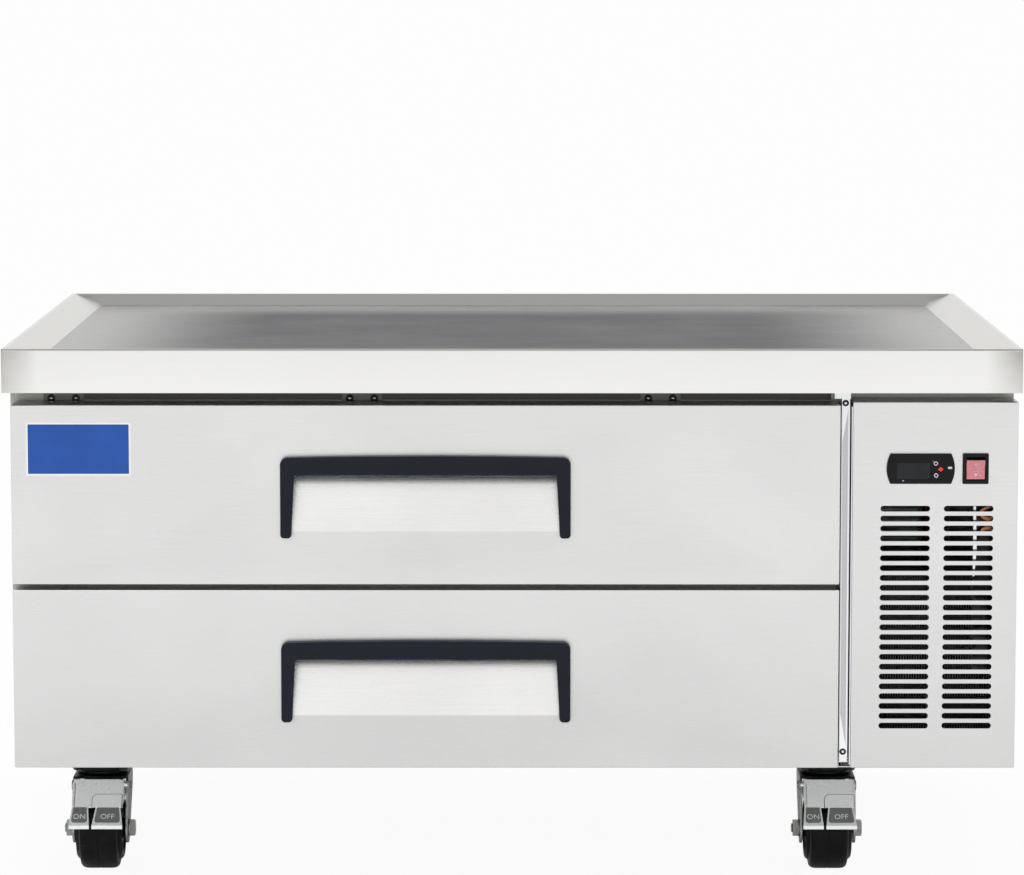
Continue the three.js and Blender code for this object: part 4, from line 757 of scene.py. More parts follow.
def front_rail():
    """Rail under the rim: a folded face, three brackets and two domed screws on each."""
    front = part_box("front_frame")[0].y
    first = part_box("worktop")[0].x + FIRST_BRACKET
    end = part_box("upper_drawer_shell")[1].x
    half = BRACKET_WIDTH / 2
    centres = [first + i * (end - LAST_BRACKET - first) / (BRACKETS - 1) for i in range(BRACKETS)]
    face = prism(rounded(first - half, RAIL_LOW, end - 8 * MM, RAIL_TOP, 0.3 * MM), OVERLAY)
    face = turned(face, FACE_FRONT, y=front)
    # The rail's face and its brackets take the darker steels: painted shade.
    add_piece("rail_face", face, "brushed_stainless", "front_frame", look="rail_steel")
    plates = []
    for x in centres:
        outline = rounded(x - half, BRACKET_LOW, x + half, RAIL_TOP, mm(2, 2, 0.3, 0.3))
        plates.append(turned(prism(outline, OVERLAY, 0.3 * MM), FACE_FRONT, y=front - OVERLAY))
    add_piece("rail_brackets", joined(*plates), "brushed_stainless", "front_frame", look="bracket_steel")
    cups, domes = cup_screws([
        (x + side * BRACKET_SCREW_PITCH / 2, front - 2 * OVERLAY, BRACKET_SCREW_HEIGHT)
        for x in centres for side in (-1, 1)
    ], BRACKET_SCREW)
    add_piece("bracket_screw_cups", cups, "caster_black", "front_frame")
    # The bright domes: painted highlight.
    add_piece("bracket_screws", domes, "bright_trim", "front_frame")


def louvre_hood():
    """A pressed hood over one slot: a long half-round blister, open along its lower edge."""
    steps, rows = 16, 8
    grid = []
    for k in range(rows + 1):
        angle = pi / 2 * k / rows
        line = []
        for i in range(steps + 1):
            along = -cos(pi * i / steps)
            rise = sqrt(max(0.02, 1 - abs(along) ** 10))
            height = LOUVRE_HALF * rise * (cos(angle) * 1.6 - 1.05) + 1 * MM
            line.append((along * LOUVRE_LENGTH / 2, LOUVRE_RISE * rise * sin(angle), height))
        grid.append(line)
    return thickened(skinned(grid), 0.5 * MM)


def rear_panel():
    """Rear sheet with pressed louvre hoods, two rows of screws and the power inlet's three contacts."""
    low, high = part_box("back_panel")
    x, _, z = middle("electrical_box")
    keep_shape("back_panel", fold=0.3 * MM)
    first = high.z - LOUVRE_DROP
    hoods = [moved(louvre_hood(), x, high.y, first - row * LOUVRE_PITCH) for row in range(LOUVRE_ROWS)]
    add_piece("louvre_hoods", joined(*hoods), "galvanised_sheet", "back_panel")
    start, run = low.x + REAR_SCREW_EDGE, high.x - low.x - 2 * REAR_SCREW_EDGE
    screws = [
        turned(screw_head(4 * MM, 1.7 * MM), FACE_BACK, start + k * run / 6, high.y, height)
        for k in range(7) for height in (low.z + REAR_SCREW_EDGE, high.z - 4.6 * REAR_SCREW_EDGE)
    ]
    add_piece("rear_screws", joined(*screws), "bright_trim", "back_panel")
    pins = [
        turned(prism(rounded(*mm(-1, -2.8, 1, 2.8, 0.7)), 10 * MM, 0.3 * MM), FACE_BACK,
               x + across, high.y - 13.9 * MM, z + up)
        for across, up in mm((-7, -2), (7, -2), (0, 3))
    ]
    add_piece("inlet_pins", joined(*pins), "bright_trim", "back_panel")


def cabinet():
    keep_shape("cabinet_shell")
    # The frame takes the darker frame steel: painted shade.
    keep_shape("front_frame", look="frame_steel", fold=0.8 * MM)
    keep_shape("cabinet_liner", fold=1 * MM)
    front_rail()
    rear_panel()


# Drawers

GASKET_BASE = 2.5 * MM
GASKET_WIDTH = 14 * MM
BULB_WIDTH = 9 * MM
BULB_NECK = 2 * MM
HANDLE_SOFT = 2.4 * MM
HANDLE_CROWN = 2 * MM
HANDLE_CORNER = 9 * MM
HANDLE_BAR = 23 * MM
HANDLE_FOOT = 4.5 * MM  # radius of a leg's foot
LEG_TOP = 17 * MM
LEG_FOOT = 13 * MM
BADGE_HALF = (63.5 * MM, 32.5 * MM)
BADGE_MIDDLE = (-524 * MM, 553 * MM)
BADGE_RIM = 2.4 * MM
BADGE_BED = 0.55 * MM  # from the drawer's face to the back of the plate


def gasket(name):
    """Seal ring: a ribbed base, a folded bellows and a round magnet bulb."""
    low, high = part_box(name)
    x, _, z = middle(name)
    base = low.y + GASKET_BASE
    fold = base + BULB_NECK * 0.6
    near = (GASKET_WIDTH - BULB_WIDTH) / 2
    far = near + BULB_WIDTH
    points = [
        (0, low.y), (GASKET_WIDTH, low.y), (GASKET_WIDTH, base), (far - BULB_NECK, base), (far, fold),
        (far, high.y), (near, high.y), (near, fold), (near + BULB_NECK, base), (0, base),
    ]
    line = fillet(points, mm(0.3, 0.3, 0.6, 0.5, 0.8, 1.4, 1.4, 0.8, 0.5, 0.6), 3)
    bm = swept_ring(line, (high.x - low.x) / 2, (high.z - low.z) / 2, 1.5 * MM, 3)
    bmesh.ops.delete(bm, geom=[f for f in bm.faces if len(f.verts) > 4], context="FACES_ONLY")
    bmesh.ops.bridge_loops(bm, edges=[e for e in bm.edges if e.is_boundary])
    upright = Matrix(((1, 0, 0, 0), (0, 0, 1, 0), (0, 1, 0, 0), (0, 0, 0, 1)))
    add_piece(name + "_ring", turned(bm, upright, x, 0, z), "gasket_grey", name, True)


def handle(name):
    """Black U handle: crowned top edge, legs that narrow downwards and soft edges all round."""
    low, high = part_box(name)
    w, h = (high.x - low.x) / 2, high.z - low.z
    shoulder = h - HANDLE_CROWN
    corners = [
        (-w, 0), (-w + LEG_FOOT, 0), (-w + LEG_TOP, h - HANDLE_BAR), (w - LEG_TOP, h - HANDLE_BAR),
        (w - LEG_FOOT, 0), (w, 0), (w, shoulder),
    ]
    shares = [0.94 * (1 - k / 12) for k in range(25)]
    bow = [(w * share, h - HANDLE_CROWN * share * share) for share in shares]
    legs = [HANDLE_FOOT, HANDLE_FOOT, 3 * MM, 3 * MM, HANDLE_FOOT, HANDLE_FOOT]
    radii = [*legs, HANDLE_CORNER, *([0] * len(bow)), HANDLE_CORNER]
    bm = prism(fillet([*corners, *bow, (-w, shoulder)], radii, 8), high.y - low.y, 0)
    bevel(bm, top_rim(bm), HANDLE_SOFT, 5)
    grip = turned(bm, FACE_FRONT, middle(name)[0], high.y, low.z)
    add_piece(name + "_grip", grip, "handle_plastic", name, True, crease=60)


def badge():
    """Bare blue plate in a thin bright rim."""
    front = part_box("upper_drawer_shell")[0].y
    x, z = BADGE_MIDDLE

    def plate(inset, radius, depth, edge):
        w, h = (half - inset for half in BADGE_HALF)
        return prism(rounded(-w, -h, w, h, radius), depth, edge)

    bed = moved(plate(BADGE_RIM, 0.8 * MM, 2 * MM, 0), z=BADGE_BED)
    rim = turned(boolean(plate(0, 1.5 * MM, 1 * MM, 0.35 * MM), bed), FACE_FRONT, x, front, z)
    add_piece("badge_rim", rim, "key_white", "upper_drawer_shell", look="badge_white")
    face = plate(BADGE_RIM + 0.1 * MM, 0.8 * MM, 0.3 * MM, 0.1 * MM)
    face = turned(face, FACE_FRONT, x, front - BADGE_BED, z)
    add_piece("badge_plate", face, "badge_blue", "upper_drawer_shell")


def drawer_shell(level):
    """The steel front, with the finger pocket behind its handle given a brighter steel: painted highlight.
    """
    shell = keep_shape(level + "_drawer_shell")
    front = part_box(level + "_drawer_shell")[0].y
    low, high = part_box(level + "_drawer_handle")
    # Painted highlight: the pocket's faces take the brighter steel.
    shell.data.materials.append(LOOKS["pocket_steel"])
    for face in shell.data.polygons:
        spot = face.center
        inside = low.x < spot.x < high.x and low.z - 20 * MM < spot.z < high.z
        if inside and front + 0.4 * MM < spot.y < front + 40 * MM and face.normal.y < -0.2:
            face.material_index = 1


def drawers():
    for level in ("lower", "upper"):
        drawer_shell(level)
        keep_shape(level + "_drawer_liner", fold=1 * MM)
        keep_shape(level + "_pan_frame", fold=0.5 * MM)
        for side in ("left", "right"):
            keep_shape(f"{level}_slide_mid_{side}", fold=0.5 * MM)
        gasket(level + "_drawer_gasket")
        handle(level + "_drawer_handle")
    for side in ("left", "right"):
        keep_shape("rail_frame_" + side, fold=0.5 * MM)
    badge()


# Trim strip and front panel

STRIP_ROUND = 3.2 * MM
STRIP_TAB = 8 * MM
PANEL_FOLD = 1.6 * MM
PANEL_CUT = 8 * MM  # depth of the forms that cut its openings
SLOT_LENGTH = 60 * MM
SLOT_HEIGHT = 7 * MM
SLOT_PITCH = 12.1 * MM
SLOT_ROWS = 23
SLOT_COLUMNS = 2
SLOT_COLUMN_PITCH = 76.7 * MM
SLOT_COLUMN_INSET = 64 * MM
SLOT_FIRST_DROP = 130 * MM


def trim_strip():
    """Bright channel with a rounded face, a flat tab, lips and two screws, and the panel's return."""
    low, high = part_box("mullion_strip")
    left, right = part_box("upper_drawer_shell")[1].x + STRIP_GAP, high.x
    depth = high.y - low.y
    top = high.z - STRIP_TAB
    bend = STRIP_ROUND
    outer = fillet([(left, depth), (left, 0), (right, 0), (right, depth)], [0, bend, bend, 0], 8)
    bend -= SHEET
    inner = fillet([
        (right - SHEET, depth), (right - SHEET, SHEET), (left + SHEET, SHEET), (left + SHEET, depth),
    ], [0, bend, bend, 0], 8)
    channel = moved(prism(outer + inner, top - low.z, 0.15 * MM), y=low.y, z=low.z)
    tab = prism(rounded(low.x, top - 0.2 * MM, high.x, high.z, mm(0.4, 0.4, 1.5, 1.5)), SHEET)
    tab = turned(tab, FACE_FRONT, y=low.y + SHEET)
    lip = rounded(left, 0, right, 10 * MM, 0.6 * MM)
    lips = [moved(prism(lip, SHEET, 0.35 * MM), y=low.y - 0.9 * MM, z=low.z + rise) for rise in mm(0.2, 4.6)]
    shape = joined(channel, tab, *lips)
    add_piece("trim_strip", shape, "bright_trim", "mullion_strip", True, look="trim_strip")
    x = (left + right) / 2 - 0.5 * MM
    cups, domes = cup_screws([(x, low.y, top - 5.5 * MM), (x, low.y, low.z + 13 * MM)], 4.1 * MM)
    # The bright domes: painted highlight.
    add_piece("trim_screws", domes, "bright_trim", "mullion_strip")
    add_piece("trim_screw_cups", cups, "caster_black", "mullion_strip")
    panel_low, panel_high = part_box("grille_panel")
    outline = rounded(right + 1.1 * MM, 0, panel_low.x - 0.1 * MM, 26 * MM, 0.5 * MM, 3)
    edge = prism(outline, panel_high.z - panel_low.z - 10 * MM, 0.3 * MM)
    edge = moved(edge, y=panel_low.y + 0.8 * MM, z=panel_low.z + 4 * MM)
    add_piece("panel_return", edge, "bright_trim", "grille_panel")


def front_panel():
    """Pressed pan with two columns of round-ended slots and the cut-outs of the controls."""
    low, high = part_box("grille_panel")
    bm = bmesh.new()
    corners = [(x, y, z) for x in (low.x, high.x) for y in (low.y, high.y) for z in (low.z, high.z)]
    bmesh.ops.convex_hull(bm, input=[bm.verts.new(c) for c in corners])
    bmesh.ops.dissolve_limit(bm, angle_limit=radians(1), verts=bm.verts, edges=bm.edges)
    open_side = [f for f in bm.faces if f.normal.y > 0.9]
    folds = [e for e in bm.edges if not any(f in open_side for f in e.link_faces)]
    bmesh.ops.delete(bm, geom=open_side, context="FACES_ONLY")
    bevel(bm, folds, PANEL_FOLD, 4, clamp=False)
    bmesh.ops.recalc_face_normals(bm, faces=bm.faces)
    if max(bm.faces, key=lambda f: f.calc_area()).normal.y > 0:
        bmesh.ops.reverse_faces(bm, faces=bm.faces)
    bmesh.ops.solidify(bm, geom=bm.faces[:], thickness=SHEET)
    tools = []
    cut = low.y + PANEL_CUT / 2
    half, radius = (SLOT_LENGTH - SLOT_HEIGHT) / 2, SLOT_HEIGHT / 2
    shape = arc((half, 0), radius, -pi / 2, pi / 2, 12) + arc((-half, 0), radius, pi / 2, 1.5 * pi, 12)
    for column in range(SLOT_COLUMNS):
        for row in range(SLOT_ROWS):
            x = low.x + SLOT_COLUMN_INSET + column * SLOT_COLUMN_PITCH
            z = high.z - SLOT_FIRST_DROP - row * SLOT_PITCH
            tools.append(turned(prism(shape, PANEL_CUT, 0), FACE_FRONT, x, cut, z))
    for node, across, up in (("controller", 5.6 * MM, 4 * MM), ("switch_body", 2.7 * MM, 2.7 * MM)):
        a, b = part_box(node)
        hole = prism(rounded(a.x + across, a.z + up, b.x - across, b.z - up), PANEL_CUT, 0)
        tools.append(turned(hole, FACE_FRONT, y=cut))
    bm = boolean(bm, joined(*tools))
    rim = [e for e in sharp_edges(bm, 60) if all(abs(v.co.y - low.y) < 0.01 * MM for v in e.verts)]
    bevel(bm, rim, 0.22 * MM, 2, clamp=False)
    add_piece("slotted_panel", bm, "brushed_stainless", "grille_panel", True)


# Controls

KEY_NAMES = ("up", "set", "down")
KEY_WELL_FLOOR = 0.2 * MM
KEY_GAP = 0.55 * MM  # behind a key, less than its travel is left of the well
SET_KEY_SHARE = 1.3
LENS_DEPTH = 3.5 * MM
LENS_BULGE = 4.5 * MM
# Left, low, right, top and corner radius, from the lens's middle
CASE = mm(-35.3, -14.1, 35.3, 14.1, 1)
WINDOW = mm(-29.6, -12.7, 11.4, 7.7, 2)
GLASS = mm(-29.2, -12.3, 11, 7.3, 1.8)
MARK_SINK = 0.05 * MM  # of the marks and the lamp into the lens
SWITCH_MARGIN = 3 * MM  # from the bezel's edge in to the switch's case
ROCKER_TILT = radians(8)
ROCKER_HALF = (11.15 * MM, 13.65 * MM)
ROCKER_GAP = 0.5 * MM
LETTER_RISE = 6.2 * MM  # of the I and O from the rocker's middle


def controller():
    """Gloss black controller: a lens with bowed ends, a sunk display window, keys and small marks."""
    low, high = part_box("controller")
    x, _, z = middle("controller")
    w, h = (high.x - low.x) / 2, (high.z - low.z) / 2
    back = low.y + LENS_DEPTH
    shares = [k / 7 - 1 for k in range(15)]
    right = [(w - LENS_BULGE * share ** 2, h * share) for share in shares]
    lens = prism(right + [(-px, -pz) for px, pz in right], back - low.y, 0)
    bevel(lens, top_rim(lens), 1.1 * MM, 4)
    lens = boolean(lens, moved(prism(rounded(*WINDOW), 2 * MM, 0), z=3 * MM))
    for name in KEY_NAMES:
        a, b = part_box("controller_key_" + name)
        radius = (b.x - a.x) / 2 * (SET_KEY_SHARE if name == "set" else 1) + 0.3 * MM
        well = rod(radius, 6 * MM)
        lens = boolean(lens, moved(well, (a.x + b.x) / 2 - x, (a.z + b.z) / 2 - z, KEY_WELL_FLOOR))
    lens = turned(lens, FACE_FRONT, x, back, z)
    case = prism(rounded(*CASE), 46 * MM, 0.6 * MM)
    case = turned(case, FACE_BACK, x, back - 0.01 * MM, z)
    add_piece("controller_case", joined(lens, case), "controller_black", "controller", True)
    glass = prism(rounded(*GLASS), 0.3 * MM, 0.12 * MM)
    glass = turned(glass, FACE_FRONT, x, back - 3.02 * MM, z)
    add_piece("display_glass", glass, "switch_black", "controller", look="display_grey")
    marks = []
    for across, up, half_w, half_h, radius in mm(
        (35.2, 1.2, 2.7, 1.3, 1.2), (-21.4, -14.6, 0.9, 0.45, 0.4), (19.6, -11.2, 0.3, 0.3, 0.25),
    ):
        mark = prism(rounded(-half_w, -half_h, half_w, half_h, radius), 0.2 * MM, 0.05 * MM)
        marks.append(turned(mark, FACE_FRONT, x + across, low.y + MARK_SINK, z + up))
    add_piece("controller_marks", joined(*marks), "key_white", "controller")
    lamp = lathe(mm((0, 0), (0.7, 0), (0.7, 0.1), (0.4, 0.3), (0, 0.35)), 20)
    lamp = turned(lamp, FACE_FRONT, x + 14.6 * MM, low.y + MARK_SINK, z + 9.4 * MM)
    add_piece("controller_lamp", lamp, "key_red", "controller")
    for name in KEY_NAMES:
        key(name)


def key(name):
    """One key: a ring of clear white round a dark middle, or a red diamond on the set key."""
    node = "controller_key_" + name
    low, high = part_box(node)
    x, _, z = middle(node)
    radius = (high.x - low.x) / 2
    depth = high.y - low.y - KEY_GAP
    if name == "set":
        half, rise = radius * SET_KEY_SHARE, radius * 1.12
        cap = prism(fillet([(-half, 0), (0, -rise), (half, 0), (0, rise)], 0.5 * MM, 4), depth)
    else:
        cap = lathe([
            (0, 0), (radius * 0.92, 0), (radius * 0.92, depth * 0.9), (radius * 0.84, depth),
            (radius * 0.6, depth), (radius * 0.52, depth * 0.92), (0, depth * 0.9),
        ], SMALL_ROUND)
    cap = turned(cap, FACE_FRONT, x, high.y - KEY_GAP, z)
    add_piece("key_" + name, cap, "key_red" if name == "set" else "key_white", node, True)
    if name != "set":
        dot = lathe([(0, 0), (radius * 0.56, 0), (radius * 0.5, 0.25 * MM), (0, 0.35 * MM)], SMALL_ROUND)
        dot = turned(dot, FACE_FRONT, x, low.y + depth * 0.1, z)
        add_piece(f"key_{name}_middle", dot, "controller_black", node)


def rocker_switch():
    """Square switch: a bevelled black bezel round a clear red rocker with I and O marks."""
    low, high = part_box("switch_body")
    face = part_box("grille_panel")[0].y
    x, _, z = middle("switch_body")
    w, h = (high.x - low.x) / 2, (high.z - low.z) / 2
    bezel = prism(rounded(-w, -h, w, h, 1.4 * MM), face - low.y, 0)
    bevel(bezel, top_rim(bezel), 0.7 * MM, 3)
    room_w, room_h = (half + ROCKER_GAP for half in ROCKER_HALF)
    room = prism(rounded(-room_w, -room_h, room_w, room_h, 0.8 * MM), 60 * MM, 0)
    bezel = boolean(bezel, moved(room, z=-20 * MM))
    bezel = turned(bezel, FACE_FRONT, x, face, z)
    w, h = w - SWITCH_MARGIN, h - SWITCH_MARGIN
    case = prism(rounded(-w, -h, w, h, 0.8 * MM), high.y - face, 0.4 * MM)
    case = boolean(case, moved(prism(rounded(-room_w, -room_h, room_w, room_h), 17.5 * MM, 0), z=-1 * MM))
    case = turned(case, FACE_BACK, x, face - 0.01 * MM, z)
    add_piece("switch_case", joined(bezel, case), "switch_black", "switch_body", True)
    paddle = softened("switch_rocker", fold=0.3 * MM, edge=0.3 * MM)
    add_piece("rocker_paddle", paddle, "switch_red", "switch_rocker", True)
    # The rocker's two faces meet in a shallow V. Each letter lies on its half
    steepness = tan(ROCKER_TILT)
    across = -9 * MM + (ROCKER_HALF[1] / 2 - LETTER_RISE) * steepness + 0.02 * MM
    for words, side, size in (("I", 1, 5 * MM), ("O", -1, 4.6 * MM)):
        mark = turned(lettering(words, size, 0.3 * MM), FACE_FRONT, z=side * LETTER_RISE)
        mark = turned(mark, Matrix.Rotation(ROCKER_TILT * side, 4, "X"), y=across)
        mark = turned(mark, Matrix.Rotation(ROCKER_TILT, 4, "X"), x, face + 5.7 * MM, z)
        add_piece("rocker_mark_" + words, mark, "key_white", "switch_rocker", look="badge_white")


# Casters

PLATE_STEEL = 5 * MM
PLATE_BOLT_EDGE = 8 * MM
RACE_HEIGHT = 12 * MM
RACE_RADIUS = 33 * MM
FORK_HALF = 35 * MM
FORK_STEEL = 3.2 * MM
FORK_TOP = 116.4 * MM
LEG_ROUND = 19 * MM
TRAIL = 35 * MM
WHEEL_RADIUS = 50.8 * MM
WHEEL_SPOKES = 6
HALF_SPOKE = 0.14  # radians
BOLT_FLATS = 19 * MM
BOLT_GAP = 0.35 * MM  # between a leg of the fork and a washer
WASHER = 1.6 * MM
PEDAL_STEEL = 2 * MM
PEDAL_HALF = 31.3 * MM
PEDAL_TOP = Vector((-62 * MM, 118 * MM))
PEDAL_FOOT = Vector((-84 * MM, 87 * MM))
PEDAL_PIN = (-38 * MM, 106 * MM)
ON_SHARE = 0.36  # of the pedal's width
TAB_RUN = 20 * MM
TAB_DROP = 20 * MM
TAB_NARROW = 0.8
MIRROR_X = Matrix.Scale(-1, 4, (1, 0, 0))


def caster_plate(name, place):
    """Black plate with four bolts, and the two swivel cups with their groove."""
    node = name + "_caster_plate"
    low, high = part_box(node)
    w, d = (high.x - low.x) / 2, (high.y - low.y) / 2
    under = high.z - PLATE_STEEL
    race = under - RACE_HEIGHT
    plate = moved(prism(rounded(-w, -d, w, d, 7 * MM, 8), PLATE_STEEL, 0.7 * MM, 3), z=under)
    r = RACE_RADIUS
    cups = lathe(fillet([
        (8 * MM, under + 1 * MM), (r * 0.97, under + 1 * MM), (r, under - 1.5 * MM), (r, under - 4.4 * MM),
        (r * 0.93, under - 5.3 * MM), (r * 0.93, under - 6.3 * MM), (r, under - 7 * MM),
        (r * 0.98, race + 1.5 * MM), (r * 0.85, race + 0.1 * MM), (8 * MM, race + 0.1 * MM),
    ], mm(0, 1, 0.8, 0.5, 0.3, 0.3, 0.5, 1.2, 0.8, 0), 3))
    pin = lathe([
        (0, low.z), (8.6 * MM, low.z), (10 * MM, low.z + 0.9 * MM), (10 * MM, low.z + 2.8 * MM),
        (6 * MM, low.z + 3 * MM), (6 * MM, race + 1 * MM), (0, race + 1 * MM),
    ], SMALL_ROUND)
    add_piece(name + "_swivel_head", moved(joined(plate, cups, pin), *place), "caster_black", node, True)
    down = Matrix.Rotation(pi, 4, "X")
    w, d = w - PLATE_BOLT_EDGE, d - PLATE_BOLT_EDGE
    bolts = [
        turned(hexagon(11 * MM, 3 * MM), down, across, along, under + 0.2 * MM)
        for across in (-w, w) for along in (-d, d)
    ]
    add_piece(name + "_plate_bolts", moved(joined(*bolts), *place), "caster_black", node)


def button(profile, radii, steps, segments, side, reach, y, z):
    """A flat round form on a fork's leg, which faces outwards on its side."""
    made = lathe(fillet(mm(*profile), mm(*radii), steps), segments, FACE_RIGHT)
    return moved(turned(made, MIRROR_X) if side < 0 else made, side * reach, y, z)


def caster_fork(name, place, braked):
    """Pressed fork: two curved legs, a crown folded over with round shoulders, and the axle's bosses."""
    node = name + "_caster_fork"
    front, back, top = 36 * MM, 28 * MM, FORK_TOP
    axle = (-TRAIL, WHEEL_RADIUS)
    foot = arc(axle, LEG_ROUND, pi, pi * 1.85, 28)
    head = [
        (back - FORK_STEEL, top - LEG_ROUND), (back, top - 4 * MM), (back - 3 * MM, top - 0.8 * MM),
        (-front + 2 * MM, top - 0.8 * MM), (-front - 3 * MM, top - 5 * MM),
        (-front - LEG_ROUND / 2, top - LEG_ROUND),
    ]
    outline = foot + fillet([foot[-1], *head, foot[0]], mm(0, 9, 3, 2, 3, 4, 10, 0), 5)[1:-1]
    legs = []
    for side in (-1, 1):
        leg = turned(prism(outline, FORK_STEEL, 0.6 * MM, 3), FACE_RIGHT)
        legs.append(moved(leg, -FORK_HALF if side < 0 else FORK_HALF - FORK_STEEL))
        boss = ((0, 0), (12, 0), (11, 1.1), (0, 1.1))
        legs.append(button(boss, (0, 0.3, 0.5, 0), 3, 48, side, FORK_HALF - 0.85 * MM, *axle))
    inner = FORK_HALF - 0.2 * MM
    crown = prism(rounded(-inner, -front, inner, back, 4 * MM), FORK_STEEL, 0.9 * MM, 3)
    dish = lathe(fillet(mm((11, -1.2), (29, -1.2), (31, 0.6), (11, 0.6)), mm(0, 1, 0.4, 0), 3))
    crown = moved(joined(crown, dish), z=top - FORK_STEEL)
    rivets = [
        button(((0, -1), (radius, -1), (radius, 0.9), (0, 1.5)), (0, 0, 0.7, 0), 4, SMALL_ROUND,
               side, FORK_HALF, y * MM, z * MM)
        for side in (-1, 1) for y, z, radius in ((-38, 106, 6.2), (-4, 100, 4.5))
    ] if braked else []
    # The crown takes the black finish, not the fork's zinc: painted shade.
    add_piece(name + "_fork_crown", moved(crown, *place), "caster_black", node)
    shape = moved(joined(*legs, *rivets), *place)
    # The legs take the darker zinc: painted shade.
    add_piece(name + "_fork_pressing", shape, "caster_zinc", node, True, look="fork_zinc")


def caster_wheel(name):
    """Black wheel: a tread with round shoulders and a centre seam, stepped guards, and a spoked hub."""
    node = name + "_caster_wheel"
    side = mm(
        (6.3, 31.2), (11, 31.2), (13, 30), (13.6, 27), (31, 26), (33.4, 28.6), (36.5, 28.8),
        (38.5, 27), (40.6, 24.2), (44.4, 24), (46.8, 23.4), (48.7, 22), (50, 19.8), (50.6, 17),
        (50.8, 14), (50.8, 0.8), (50.35, 0.35),
    )
    wheel = lathe(side + [(r, -h) for r, h in reversed(side)], ROUND, FACE_RIGHT)
    recesses = []
    for x in mm(-28.5, 22.5):
        for k in range(WHEEL_SPOKES):
            start = 2 * pi * k / WHEEL_SPOKES + HALF_SPOKE
            end = 2 * pi * (k + 1) / WHEEL_SPOKES - HALF_SPOKE
            pocket = arc((0, 0), 28.5 * MM, start, end, 8)
            pocket += arc((0, 0), 17.5 * MM, end - 0.05, start + 0.05, 6)
            recesses.append(turned(prism(pocket, 6 * MM, 0), FACE_RIGHT, x))
    wheel = moved(boolean(wheel, joined(*recesses)), *middle(node))
    add_piece(name + "_wheel_tyre", wheel, "wheel_rubber", node, True)


def caster_bolt(name):
    """Axle: a hexagon bolt head and washer on the right, a lock nut and thread end on the left."""
    node = name + "_caster_axle"
    low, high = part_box(node)
    x, y, z = middle(name + "_caster_wheel")
    half = FORK_HALF + BOLT_GAP
    right, left = x + half, x - half
    nut = left - WASHER - low.x - 2 * MM
    ring = fillet([(6.2 * MM, 0), (11 * MM, 0), (11 * MM, WASHER), (6.2 * MM, WASHER)], 0.25 * MM, 2)
    thread = [(0, 0)]
    pitch, turns = 1.25 * MM, 5
    for k in range(turns):
        thread += [(5.2 * MM, pitch * k), (5.9 * MM, pitch * (k + 0.5))]
    thread += [(5 * MM, pitch * turns), (0, pitch * turns)]
    forms = (
        (hexagon(BOLT_FLATS, high.x - right - WASHER), right + WASHER), (lathe(ring, SMALL_ROUND), right),
        (lathe(ring, SMALL_ROUND), left - WASHER), (hexagon(BOLT_FLATS, nut), left - WASHER - nut),
        (lathe(thread, SMALL_ROUND), low.x), (rod(6 * MM, right - left), left),
    )
    shape = joined(*(turned(form, FACE_RIGHT, start, y, z) for form, start in forms))
    add_piece(name + "_axle_bolt", shape, "caster_zinc", node, True, look="bolt_zinc")


def on_slope(lean):
    """Frame on a slope at the pedal's foot: x to the right, y up the slope, z out of its face."""
    return Matrix.Translation((0, *PEDAL_FOOT)) @ Matrix.Rotation(lean, 4, "X") @ FACE_FRONT


def tapered(bm, centre):
    """Narrows a tab's shape towards the plate's foot."""
    for vert in bm.verts:
        share = max(0, min(1, (PEDAL_FOOT.x - vert.co.y) / TAB_RUN))
        vert.co.x = centre + (vert.co.x - centre) * (TAB_NARROW + (1 - TAB_NARROW) * share)
    return bm


def pedal_tab(x0, x1):
    """A tab that slopes forward from the plate's foot and ends in a rounded lip."""
    y, z = PEDAL_FOOT
    tip, end = y - TAB_RUN, z - TAB_DROP
    outline = fillet([
        (y, z), (tip, end), (tip, end - 4.5 * MM), (tip + 2.2 * MM, end - 4.5 * MM),
        (tip + 2.2 * MM, end + 0.4 * MM), (y + 2 * MM, z - 1.4 * MM),
    ], mm(0.3, 2.4, 0.8, 0.8, 0.6, 0.3), 6)
    return tapered(turned(prism(outline, x1 - x0, 1 * MM, 4), FACE_RIGHT, x0), (x0 + x1) / 2)


